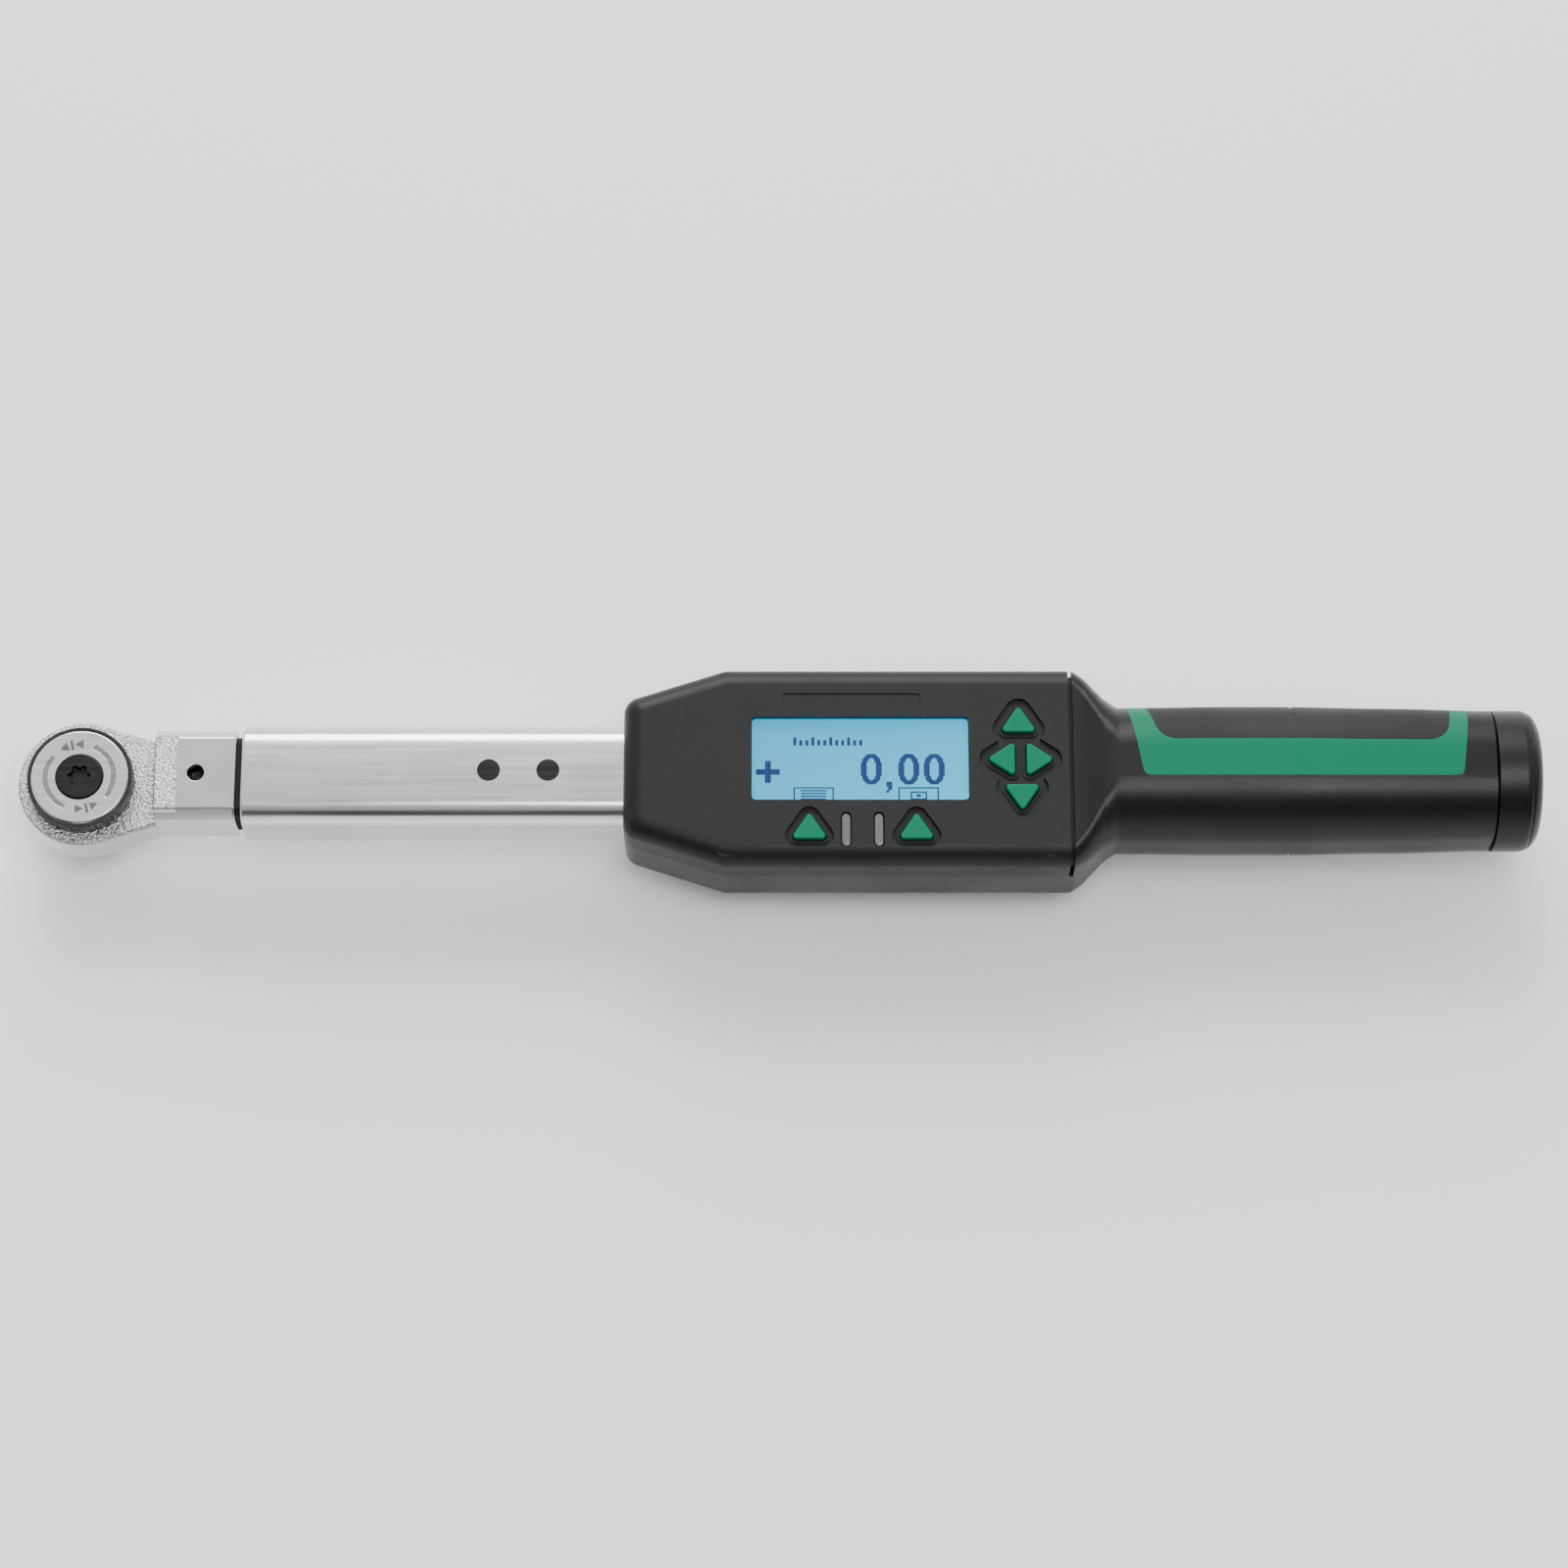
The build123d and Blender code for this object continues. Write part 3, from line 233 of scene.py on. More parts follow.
def make_brushing() -> NodeTree:
    """Fine polishing lines along X.

    Returns:
        The node group.
    """
    tree, given, result = group("polishing_lines", {"Scale": 900.0, "Stretch": 0.03}, ("Height", "Line"))
    squash = tree.add("ShaderNodeCombineXYZ", X=given["Stretch"], Y=1.0, Z=1.0)
    thin = tree.tree.nodes.new("ShaderNodeVectorMath")
    thin.operation = "MULTIPLY"
    tree.put(thin.inputs[0], given["Vector"])
    tree.put(thin.inputs[1], squash.outputs[0])
    lines = tree.noise(thin.outputs[0], given["Scale"], 3.0)
    tree.put(result["Height"], lines)
    tree.put(result["Line"], tree.remap(lines, 0.35, 0.65, 0.0, 1.0))
    return tree.tree


def make_forging() -> NodeTree:
    """Shot-blasted forging skin: pebbled height and a share of painted shade for its pits.

    Returns:
        The node group.
    """
    tree, given, result = group("forging_skin", {"Scale": 1500.0}, ("Height", "Pit Shade"))
    coarse = tree.noise(given["Vector"], given["Scale"], 3.0)
    cell_scale = tree.math("MULTIPLY", given["Scale"], 0.9)
    cells = tree.add("ShaderNodeTexVoronoi", Vector=given["Vector"], Scale=cell_scale)
    height = tree.math("ADD", coarse, tree.math("MULTIPLY", cells.outputs[0], 0.5))
    tree.put(result["Height"], height)
    # Painted shade: share of darkening for the pits of the pebbled skin.
    tree.put(result["Pit Shade"], tree.remap(height, 0.45, 0.95, 0.0, 1.0))
    return tree.tree


class Effect(Enum):
    """Surface effects that several finishes share."""

    MOULDED = "moulded_texture"
    SMUDGES = "handling_marks"
    BRUSHING = "polishing_lines"
    FORGING = "forging_skin"


MAKERS = {
    Effect.MOULDED: make_moulded,
    Effect.SMUDGES: make_smudges,
    Effect.BRUSHING: make_brushing,
    Effect.FORGING: make_forging,
}


def effect(tree: Tree, which: Effect, vector: Socket, **values: float) -> Node:
    """Places a shared effect in a material.

    Args:
        tree: The material's tree.
        which: The effect.
        vector: Object coordinates.
        **values: Input values.

    Returns:
        The group node.
    """
    held = bpy.data.node_groups.get(which.value) or MAKERS[which]()
    node = tree.tree.nodes.new("ShaderNodeGroup")
    node.node_tree = held
    tree.put(node.inputs["Vector"], vector)
    for key, value in values.items():
        tree.put(node.inputs[key], value)
    return node


# --- finishes -----------------------------------------------------------------------------------------
@dataclass(frozen=True)
class Finish:
    """Base of every finish: a name, a colour and a roughness."""

    name: str
    colour: Colour
    roughness: float

    def material(self) -> bpy.types.Material:
        """The finish as a material, made once.

        Returns:
            The material.
        """
        full_name = "look_" + self.name
        held = bpy.data.materials.get(full_name)
        if held:
            return held
        made = bpy.data.materials.new(full_name)
        made.use_nodes = True
        tree = Tree(made.node_tree)
        shader = made.node_tree.nodes["Principled BSDF"]
        shader.inputs["Base Color"].default_value = (*self.colour, 1.0)
        shader.inputs["Roughness"].default_value = self.roughness
        place = tree.add("ShaderNodeTexCoord").outputs["Object"]
        self.dress(tree, shader, place)
        return made

    def dress(self, tree: Tree, shader: Node, place: Socket) -> None:
        """Adds the finish's own detail."""

    def bump(self, tree: Tree, shader: Node, height: object, depth: float) -> None:
        """Feeds a height into the shader's normal.

        Args:
            tree: The material's tree.
            shader: Its shader.
            height: Height socket.
            depth: Depth in metres.
        """
        node = tree.add("ShaderNodeBump", Height=height, Distance=depth, Strength=1.0)
        tree.put(shader.inputs["Normal"], node.outputs[0])


@dataclass(frozen=True)
class Moulded(Finish):
    """Moulded plastic or rubber with a fine eroded texture."""

    depth: float = 0.00004
    scale: float = 2600.0
    worn: Colour = (0.12, 0.12, 0.12)
    specular: float = 0.22
    sheen_spread: float = 0.05

    def dress(self, tree: Tree, shader: Node, place: Socket) -> None:
        """Fine texture, uneven sheen and faint handling marks.

        Args:
            tree: The material's tree.
            shader: Its shader.
            place: Object coordinates.
        """
        shader.inputs["Specular IOR Level"].default_value = self.specular
        skin = effect(tree, Effect.MOULDED, place, Scale=self.scale)
        marks = effect(tree, Effect.SMUDGES, place, Scale=70.0, Amount=0.16)
        tree.put(shader.inputs["Base Color"], tree.blend(marks.outputs[0], (*self.colour, 1), (*self.worn, 1)))
        low, high = self.roughness - self.sheen_spread, self.roughness + self.sheen_spread
        sheen = tree.remap(skin.outputs["Sheen"], 0.3, 0.7, low, high)
        tree.put(shader.inputs["Roughness"], sheen)
        self.bump(tree, shader, skin.outputs["Height"], self.depth)


@dataclass(frozen=True)
class Steel(Finish):
    """Bright metal with polishing lines and light handling marks."""

    lines: float = 0.000006
    tarnish: Colour = (0.62, 0.62, 0.63)
    spread: float = 0.06

    def dress(self, tree: Tree, shader: Node, place: Socket) -> None:
        """Lines along X with patches of duller metal.

        Args:
            tree: The material's tree.
            shader: Its shader.
            place: Object coordinates.
        """
        shader.inputs["Metallic"].default_value = 1.0
        brushed = effect(tree, Effect.BRUSHING, place)
        marks = effect(tree, Effect.SMUDGES, place, Scale=45.0, Amount=0.5)
        tree.put(shader.inputs["Base Color"], tree.blend(marks.outputs[0], (*self.colour, 1), (*self.tarnish, 1)))
        low, high = self.roughness - self.spread, self.roughness + self.spread
        rough = tree.remap(brushed.outputs["Line"], 0.0, 1.0, low, high)
        tree.put(shader.inputs["Roughness"], rough)
        self.bump(tree, shader, brushed.outputs["Height"], self.lines)


@dataclass(frozen=True)
class Forged(Finish):
    """Chromed forging: blasted on its flat faces, ground below a height and past a station."""

    smooth_below: float = -1.0
    smooth_after: float = 9.0
    edge: float = 0.6 * MM
    depth: float = 0.34 * MM
    dulled: float = 0.86
    # Colour of the painted shade in the pits of the forging skin.
    pit_shade_colour: Colour = (0.20, 0.20, 0.205)
    pit_shade_share: float = 0.85
    rougher: float = 0.16

    def dress(self, tree: Tree, shader: Node, place: Socket) -> None:
        """Pebbled skin with painted shade in its pits, fading out over the ground areas.

        Args:
            tree: The material's tree.
            shader: Its shader.
            place: Object coordinates.
        """
        shader.inputs["Metallic"].default_value = 1.0
        parts = tree.add("ShaderNodeSeparateXYZ", Vector=place)
        wander = tree.math("MULTIPLY", tree.noise(place, 320.0), 2 * self.edge)
        x = tree.math("ADD", parts.outputs[0], wander)
        low = tree.remap(parts.outputs[2], self.smooth_below - self.edge, self.smooth_below, 0.0, 1.0)
        near = tree.remap(x, self.smooth_after, self.smooth_after + self.edge, 1.0, 0.0)
        mask = tree.math("MULTIPLY", low, near)
        skin = effect(tree, Effect.FORGING, place)
        marks = effect(tree, Effect.SMUDGES, place, Scale=80.0, Amount=0.4)
        shade = tree.blend(marks.outputs[0], (*self.colour, 1), (*[c * self.dulled for c in self.colour], 1))
        # Painted shade: the pits of the pebbled skin are darkened towards the pit shade colour.
        pit_shade_amount = tree.math("MULTIPLY", tree.math("MULTIPLY", skin.outputs["Pit Shade"], mask), self.pit_shade_share)
        tree.put(shader.inputs["Base Color"], tree.blend(pit_shade_amount, shade, (*self.pit_shade_colour, 1)))
        tree.put(shader.inputs["Roughness"], tree.remap(mask, 0.0, 1.0, self.roughness, self.roughness + self.rougher))
        self.bump(tree, shader, tree.math("MULTIPLY", skin.outputs["Height"], mask), self.depth)


@dataclass(frozen=True)
class Glow(Finish):
    """Lit display background with a slow gradient across it; its darkening towards the back is painted shadow of the
    window frame.
    """

    # Colour at the back left; towards the back it is painted shadow of the window frame.
    low: Colour = (0.0, 0.34, 0.66)
    span: tuple[float, float] = (180.0 * MM, 240.0 * MM)
    reach: tuple[float, float] = (14.0 * MM, -10.0 * MM)
    strength: float = 1.45

    def dress(self, tree: Tree, shader: Node, place: Socket) -> None:
        """Brighter towards the front right, darker towards the back left; the darkening towards the back is painted
        shadow of the window frame.

        Args:
            tree: The material's tree.
            shader: Its shader.
            place: Object coordinates.
        """
        parts = tree.add("ShaderNodeSeparateXYZ", Vector=place)
        left, right = self.span
        back, front = self.reach
        across = tree.remap(parts.outputs[0], left, right, 0.0, 1.0)
        # Painted shadow of the window frame: darker towards the back.
        down = tree.remap(parts.outputs[1], back, front, 0.0, 1.0)
        share = tree.math("MULTIPLY", tree.math("ADD", across, down), 0.5)
        grain = tree.math("MULTIPLY", tree.noise(place, 5000.0, 1.0), 0.04)
        colour = tree.blend(tree.math("ADD", share, grain), (*self.low, 1), (*self.colour, 1))
        tree.put(shader.inputs["Emission Color"], colour)
        shader.inputs["Base Color"].default_value = (0.02, 0.05, 0.07, 1.0)
        shader.inputs["Emission Strength"].default_value = self.strength


@dataclass(frozen=True)
class Clear(Finish):
    """Clear or frosted plastic."""

    transmission: float = 1.0
    bend: float = 1.45
    dulled: float = 0.05

    def dress(self, tree: Tree, shader: Node, place: Socket) -> None:
        """Faint marks in the sheen.

        Args:
            tree: The material's tree.
            shader: Its shader.
            place: Object coordinates.
        """
        shader.inputs["Transmission Weight"].default_value = self.transmission
        shader.inputs["IOR"].default_value = self.bend
        marks = effect(tree, Effect.SMUDGES, place, Scale=90.0, Amount=0.5)
        sheen = tree.remap(marks.outputs[0], 0.0, 1.0, self.roughness, self.roughness + self.dulled)
        tree.put(shader.inputs["Roughness"], sheen)


BLACK_LID = Moulded("lid_plastic", (0.0062, 0.0066, 0.0074), 0.44, worn=(0.0095, 0.010, 0.011))
BLACK_SHELL = Moulded("shell_plastic", (0.0050, 0.0054, 0.0060), 0.36, depth=0.00003, worn=(0.0078, 0.0082, 0.0090))
SOFT_BLACK = Moulded(
    "soft_field", (0.0085, 0.009, 0.0098), 0.55, depth=0.00006, scale=1800.0, worn=(0.0125, 0.013, 0.014))
GREEN_BAND = Moulded("green_band", (0.0, 0.140, 0.071), 0.48, worn=(0.0, 0.155, 0.079), specular=0.12)
GREEN_KEY = Moulded("green_key", (0.0, 0.145, 0.070), 0.36, depth=0.00002, worn=(0.0, 0.160, 0.077), specular=0.12)
RUBBER = Moulded("seal_rubber", (0.008, 0.008, 0.008), 0.65, worn=(0.014, 0.014, 0.014))
BOARD = Moulded("board_mask", (0.010, 0.110, 0.050), 0.35, worn=(0.018, 0.135, 0.065))
CHROME = Steel("satin_chrome", (0.72, 0.72, 0.73), 0.20, tarnish=(0.58, 0.58, 0.59), spread=0.04)
KNURL_STEEL = Steel("knurl_black", (0.052, 0.049, 0.046), 0.28, tarnish=(0.03, 0.028, 0.027))
# Dark sheet on the floors of the disc's arc grooves: painted shade in the grooves.
GROOVE_SHADE = Steel("groove_shade_sheet", (0.24, 0.24, 0.25), 0.30, tarnish=(0.18, 0.18, 0.19))
MARK_STEEL = Steel("mark_steel", (0.13, 0.13, 0.135), 0.34, tarnish=(0.09, 0.09, 0.095))
GROUND = Steel("ground_steel", (0.60, 0.61, 0.63), 0.30)
NICKEL = Steel("nickel_plate", (0.76, 0.74, 0.66), 0.26)
OXIDE = Steel("black_oxide", (0.030, 0.028, 0.027), 0.34, tarnish=(0.018, 0.017, 0.016))
JACKET = Moulded("cell_jacket", (0.06, 0.07, 0.09), 0.25, worn=(0.085, 0.095, 0.115))
FORGED_HEAD = Forged("forged_head", (0.66, 0.66, 0.67), 0.20, smooth_below=0.0112)
FORGED_HOLDER = Forged("forged_holder", (0.70, 0.70, 0.71), 0.16, smooth_below=0.0206, smooth_after=0.0268)
DISPLAY_GLOW = Glow("display_glow", (0.0, 0.52, 0.80), 0.60)
DOT_INK = Moulded("display_ink", (0.004, 0.02, 0.14), 0.5, worn=(0.006, 0.025, 0.16))
PANE = Clear("clear_pane", (0.97, 0.98, 0.98), 0.02, bend=1.12)
FROSTED = Clear("frosted_guide", (0.11, 0.115, 0.125), 0.26, transmission=0.10)


# --- mesh helpers -------------------------------------------------------------------------------------
def placed(name: str, data: bpy.types.ID) -> Object:
    """Links a new object at the origin.

    Args:
        name: Object name.
        data: Its mesh, lamp or camera.

    Returns:
        The object.
    """
    made = bpy.data.objects.new(name, data)
    bpy.context.scene.collection.objects.link(made)
    return made


def piece_tree(name: str, inputs: dict[str, str]) -> tuple[Tree, Sockets]:
    """Starts a geometry tree whose inputs are a geometry and some sizes.

    Args:
        name: Tree name.
        inputs: Inputs with their socket kinds.

    Returns:
        The tree and the sockets that bring its inputs.
    """
    tree = bpy.data.node_groups.new(name, "GeometryNodeTree")
    for way in ("INPUT", "OUTPUT"):
        tree.interface.new_socket("Geometry", in_out=way, socket_type="NodeSocketGeometry")
    for key, kind in inputs.items():
        tree.interface.new_socket(key, in_out="INPUT", socket_type="NodeSocket" + kind)
    return Tree(tree), tree.nodes.new("NodeGroupInput").outputs


def finish_tree(tree: Tree, geometry: Socket, finish: Finish) -> NodeTree:
    """Ends a geometry tree with its material.

    Args:
        tree: The tree.
        geometry: The realized geometry.
        finish: The finish that it gets.

    Returns:
        The node tree.
    """
    dressed = tree.add("GeometryNodeSetMaterial", Geometry=geometry, Material=finish.material())
    tree.put(tree.tree.nodes.new("NodeGroupOutput").inputs[0], dressed.outputs[0])
    return tree.tree


def run_tree(piece: Object, tree: NodeTree, sizes: dict[str, float]) -> MeshData:
    """Runs a geometry tree on a piece.

    Args:
        piece: The piece, which is removed.
        tree: The tree.
        sizes: Values of the tree's inputs by name.

    Returns:
        The finished mesh.
    """
    pattern = piece.modifiers.new("pattern", "NODES")
    pattern.node_group = tree
    for item in tree.interface.items_tree:
        if item.name in sizes:
            pattern[item.identifier] = sizes[item.name]
    return applied(piece)


def publish(
    name: str, mesh: MeshData, finish: Finish, body: str, nodes: tuple[str, ...] = (),
) -> Object:
    """Makes a finished piece from a mesh and gives it to the frame.

    Args:
        name: Piece name.
        mesh: Its mesh, in place.
        finish: Its finish.
        body: The body that it moves with.
        nodes: The frame nodes that it stands for.

    Returns:
        The piece.
    """
    piece = placed(name, mesh)
    mesh.materials.clear()
    mesh.materials.append(finish.material())
    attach(piece, body)
    if nodes:
        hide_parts(*nodes)
    LOG.info("%s rides on %s, %d faces", name, body, len(mesh.polygons))
    return piece


def applied(piece: Object) -> MeshData:
    """The piece's mesh after its modifiers, with the piece itself removed.

    Args:
        piece: A piece with modifiers.

    Returns:
        The finished mesh.
    """
    graph = bpy.context.evaluated_depsgraph_get()
    mesh = bpy.data.meshes.new_from_object(piece.evaluated_get(graph))
    mesh.name = piece.name
    bpy.data.objects.remove(piece)
    return mesh


def node_copy(node: str) -> Shape:
    """A merged copy of a frame node with its flat facets joined.

    Args:
        node: Frame node.

    Returns:
        The copy.
    """
    shape = bmesh.new()
    shape.from_mesh(frame["nodes"][node].data)
    bmesh.ops.remove_doubles(shape, verts=shape.verts, dist=2e-6)
    bmesh.ops.dissolve_limit(
        shape, angle_limit=math.radians(0.4), verts=shape.verts, edges=shape.edges, delimit=set())
    return shape


def finished_mesh(name: str, shape: Shape) -> MeshData:
    """Turns a shape into a mesh and frees the shape.

    Args:
        name: Mesh name.
        shape: The shape.

    Returns:
        The mesh.
    """
    mesh = bpy.data.meshes.new(name)
    shape.to_mesh(mesh)
    shape.free()
    return mesh


def skin_rings(
    shape: Shape, rings: list[list[bmesh.types.BMVert]], pairs: tuple[tuple[int, int], ...],
) -> None:
    """Joins closed rings of points with strips of faces.

    Args:
        shape: Shape that holds the points.
        rings: Rings with the same number of points.
        pairs: Rings to join, by number.
    """
    for first, second in pairs:
        for i in range(len(rings[first])):
            j = (i + 1) % len(rings[first])
            shape.faces.new((rings[first][i], rings[first][j], rings[second][j], rings[second][i]))


def cut_stations(shape: Shape, axis: int, stations: list[float]) -> None:
    """Adds an edge loop at each station along an axis.

    Args:
        shape: Shape to cut.
        axis: 0 for X, 1 for Y, 2 for Z.
        stations: Places along the axis in metres.
    """
    normal = Vector([1.0 if i == axis else 0.0 for i in range(3)])
    for station in stations:
        every = shape.verts[:] + shape.edges[:] + shape.faces[:]
        bmesh.ops.bisect_plane(shape, geom=every, dist=1e-7, plane_co=normal * station, plane_no=normal)


def rounded_copy(
    node: str, width: float, change: Change | None = None, segments: int = 2, angle: float = 34.0,
) -> MeshData:
    """A copy of a frame node with its sharp edges rounded.

    Args:
        node: Frame node.
        width: Width of the rounding in metres.
        change: Reshaping done before the edges are rounded.
        segments: Steps across the rounding.
        angle: Edges sharper than this many degrees are rounded.

    Returns:
        The finished mesh.
    """
    shape = node_copy(node)
    if change:
        change(shape)
    mesh = finished_mesh(node, shape)
    mesh.shade_smooth()
    piece = placed(node + "_look", mesh)
    edge = piece.modifiers.new("edge", "BEVEL")
    edge.width = width
    edge.segments = segments
    edge.limit_method = "ANGLE"
    edge.angle_limit = math.radians(angle)
    edge.use_clamp_overlap = True
    level = piece.modifiers.new("level_normals", "WEIGHTED_NORMAL")
    level.mode = "FACE_AREA"
    level.weight = 60
    return applied(piece)


def prism_mesh(name: str, outline: Outline, low: float, high: float) -> MeshData:
    """Solid between two heights over a plan outline given anticlockwise.

    Args:
        name: Mesh name.
        outline: Corners in plan.
        low: Lower height.
        high: Upper height.

    Returns:
        The mesh.
    """
    shape = bmesh.new()
    bottom = [shape.verts.new((x, y, low)) for x, y in outline]
    top = [shape.verts.new((x, y, high)) for x, y in outline]
    shape.faces.new(list(reversed(bottom)))
    shape.faces.new(top)
    for i in range(len(outline)):
        j = (i + 1) % len(outline)
        shape.faces.new((bottom[i], bottom[j], top[j], top[i]))
    return finished_mesh(name, shape)


def joined(name: str, meshes: list[MeshData]) -> MeshData:
    """One mesh from several.

    Args:
        name: Mesh name.
        meshes: Meshes to join.

    Returns:
        The mesh.
    """
    shape = bmesh.new()
    for part in meshes:
        shape.from_mesh(part)
    return finished_mesh(name, shape)


# --- sub-assemblies -----------------------------------------------------------------------------------
@dataclass
class CopiedPiece:
    """A frame node that is shown by a copy with rounded edges."""

    node: str
    body: str
    slot: str
    finish: Finish
    edge: float = 0.15 * MM
    change: Change | None = None

    def build(self) -> None:
        """Makes the piece."""
        mesh = rounded_copy(self.node, self.edge, self.change)
        publish(self.node + "_look", mesh, self.finish, self.body, (self.node,))


def eased(value: float, table: Table) -> float:
    """Value of a table at a station, with soft steps between its rows.

    Args:
        value: The station.
        table: Stations with their values.

    Returns:
        The value there.
    """
    if value <= table[0][0]:
        return table[0][1]
    for (x0, y0), (x1, y1) in zip(table, table[1:]):
        if value <= x1:
            share = (value - x0) / (x1 - x0)
            return y0 + (y1 - y0) * share * share * (3 - 2 * share)
    return table[-1][1]


@dataclass
class HandleForm:
    """Swell of the handle, soft flare of the neck and the mark where the two shells meet."""

    axis_z: float = 13.7 * MM
    core: float = 15.4 * MM
    skin: float = 17.0 * MM
    swell: Table = (
        (0.2790, 1.0), (0.2860, 1.003), (0.3060, 1.0155), (0.3240, 1.0155), (0.3500, 0.992), (0.3800, 0.960))
    neck: tuple[float, float] = (0.2666, 0.2790)
    ruled: Table = ((0.0, 0.0), (0.3, 0.28), (0.66, 0.71), (1.0, 1.0))
    half: tuple[float, float] = (27.6 * MM, 18.7 * MM)
    low: tuple[float, float] = (-3.5 * MM, -5.0 * MM)
    high: tuple[float, float] = (29.0 * MM, 32.4 * MM)
    mark_x: float = 325.5 * MM
    mark_width: float = 0.45 * MM
    mark_depth: float = 0.40 * MM
    mark_below: float = -5.0 * MM
    mark_behind: float = 13.0 * MM
    neck_steps: int = 12
    bar_steps: int = 24
    bar_pitch: float = 4.0 * MM
    softness: float = 0.45

    def straight_share(self, along: float) -> float:
        """Share of the narrowing at a station of the plain flare.

        Args:
            along: Share of the way along the neck.

        Returns:
            Share of the narrowing.
        """
        for (x0, y0), (x1, y1) in zip(self.ruled, self.ruled[1:]):
            if along <= x1:
                return y0 + (y1 - y0) * (along - x0) / (x1 - x0)
        return 1.0

    def soft_share(self, along: float) -> float:
        """Share of the narrowing of the S-shaped flare."""
        smooth = along * along * (3 - 2 * along)
        return self.softness * smooth + (1 - self.softness) * self.straight_share(along)

    def reshape_neck(self, place: Vector) -> None:
        """Moves one point of the flare.

        Args:
            place: The point, changed in place.
        """
        along = (place.x - self.neck[0]) / (self.neck[1] - self.neck[0])
        was, now = self.straight_share(along), self.soft_share(along)
        span = [[a + (b - a) * share for a, b in (self.half, self.low, self.high)] for share in (was, now)]
        place.y *= span[1][0] / span[0][0]
        middle = [(row[1] + row[2]) / 2 for row in span]
        tall = [(row[2] - row[1]) / 2 for row in span]
        place.z = middle[1] + (place.z - middle[0]) * tall[1] / tall[0]

    def reshape_bar(self, place: Vector) -> None:
        """Moves one point of the handle's skin.

        Args:
            place: The point, changed in place.
        """
        radius = math.hypot(place.y, place.z - self.axis_z)
        weight = min(1.0, max(0.0, (radius - self.core) / (self.skin - self.core)))
        scale = 1 + (eased(place.x, self.swell) - 1) * weight
        below = place.z - self.axis_z < self.mark_below
        behind = place.y > self.mark_behind
        if abs(place.x - self.mark_x) < 0.6 * self.mark_width and radius > self.skin and (below or behind):
            scale -= self.mark_depth / radius
        place.y *= scale
        place.z = self.axis_z + (place.z - self.axis_z) * scale

    def change(self, shape: Shape) -> None:
        """Reshapes a copy of a handle part.

        Args:
            shape: The copy.
        """
        start, end = self.neck
        stations = [start + (end - start) * i / self.neck_steps for i in range(1, self.neck_steps + 1)]
        stations += [end + self.bar_pitch * i for i in range(1, self.bar_steps + 1)]
        stations += [self.mark_x + side * self.mark_width for side in (-1.0, -0.5, 0.5, 1.0)]
        cut_stations(shape, 0, stations)
        for vert in shape.verts:
            outside = math.hypot(vert.co.y, vert.co.z - self.axis_z) > self.core
            if start < vert.co.x < end and outside:
                self.reshape_neck(vert.co)
            elif vert.co.x >= end:
                self.reshape_bar(vert.co)


@dataclass
class TubeForm:
    """Slight crown across the top of the tube and of its cross pins."""

    half_width: float = 14.0 * MM
    drop: float = 0.55 * MM
    roll_start: float = 17.0 * MM
    roll_height: float = 6.0 * MM
    cut_pitch: float = 1.0 * MM
    cuts_each_side: int = 11

    def change(self, shape: Shape) -> None:
        """Lowers the top towards both edges.

        Args:
            shape: The copy.
        """
        cuts = range(-self.cuts_each_side, self.cuts_each_side + 1)
        cut_stations(shape, 1, [self.cut_pitch * i for i in cuts])
        for vert in shape.verts:
            weight = min(1.0, max(0.0, (vert.co.z - self.roll_start) / self.roll_height))
            vert.co.z -= weight * self.drop * (vert.co.y / self.half_width) ** 2


@dataclass
class CapForm:
    """Fine turned line near the end of the battery cap."""

    line_x: float = 388.9 * MM
    width: float = 0.3 * MM
    depth: float = 0.25 * MM
    axis_z: float = 13.7 * MM
    skin: float = 17.5 * MM

    def change(self, shape: Shape) -> None:
        """Sinks a narrow band of the cap's skin.

        Args:
            shape: The copy.
        """
        cut_stations(shape, 0, [self.line_x + side * self.width for side in (-1.0, -0.5, 0.5, 1.0)])
        for vert in shape.verts:
            radius = math.hypot(vert.co.y, vert.co.z - self.axis_z)
            if abs(vert.co.x - self.line_x) < 0.6 * self.width and radius > self.skin:
                scale = 1 - self.depth / radius
                vert.co.y *= scale
                vert.co.z = self.axis_z + (vert.co.z - self.axis_z) * scale


@dataclass
class GuideForm:
    """Narrows a light guide so that the dark slot shows round it."""

    node: str
    share: float = 0.74
    length_share: float = 0.92

    def change(self, shape: Shape) -> None:
        """Scales the guide about its own middle.

        Args:
            shape: The copy.
        """
        low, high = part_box(self.node)
        middle = (low + high) / 2
        for vert in shape.verts:
            vert.co.x = middle.x + (vert.co.x - middle.x) * self.share
            vert.co.y = middle.y + (vert.co.y - middle.y) * self.length_share


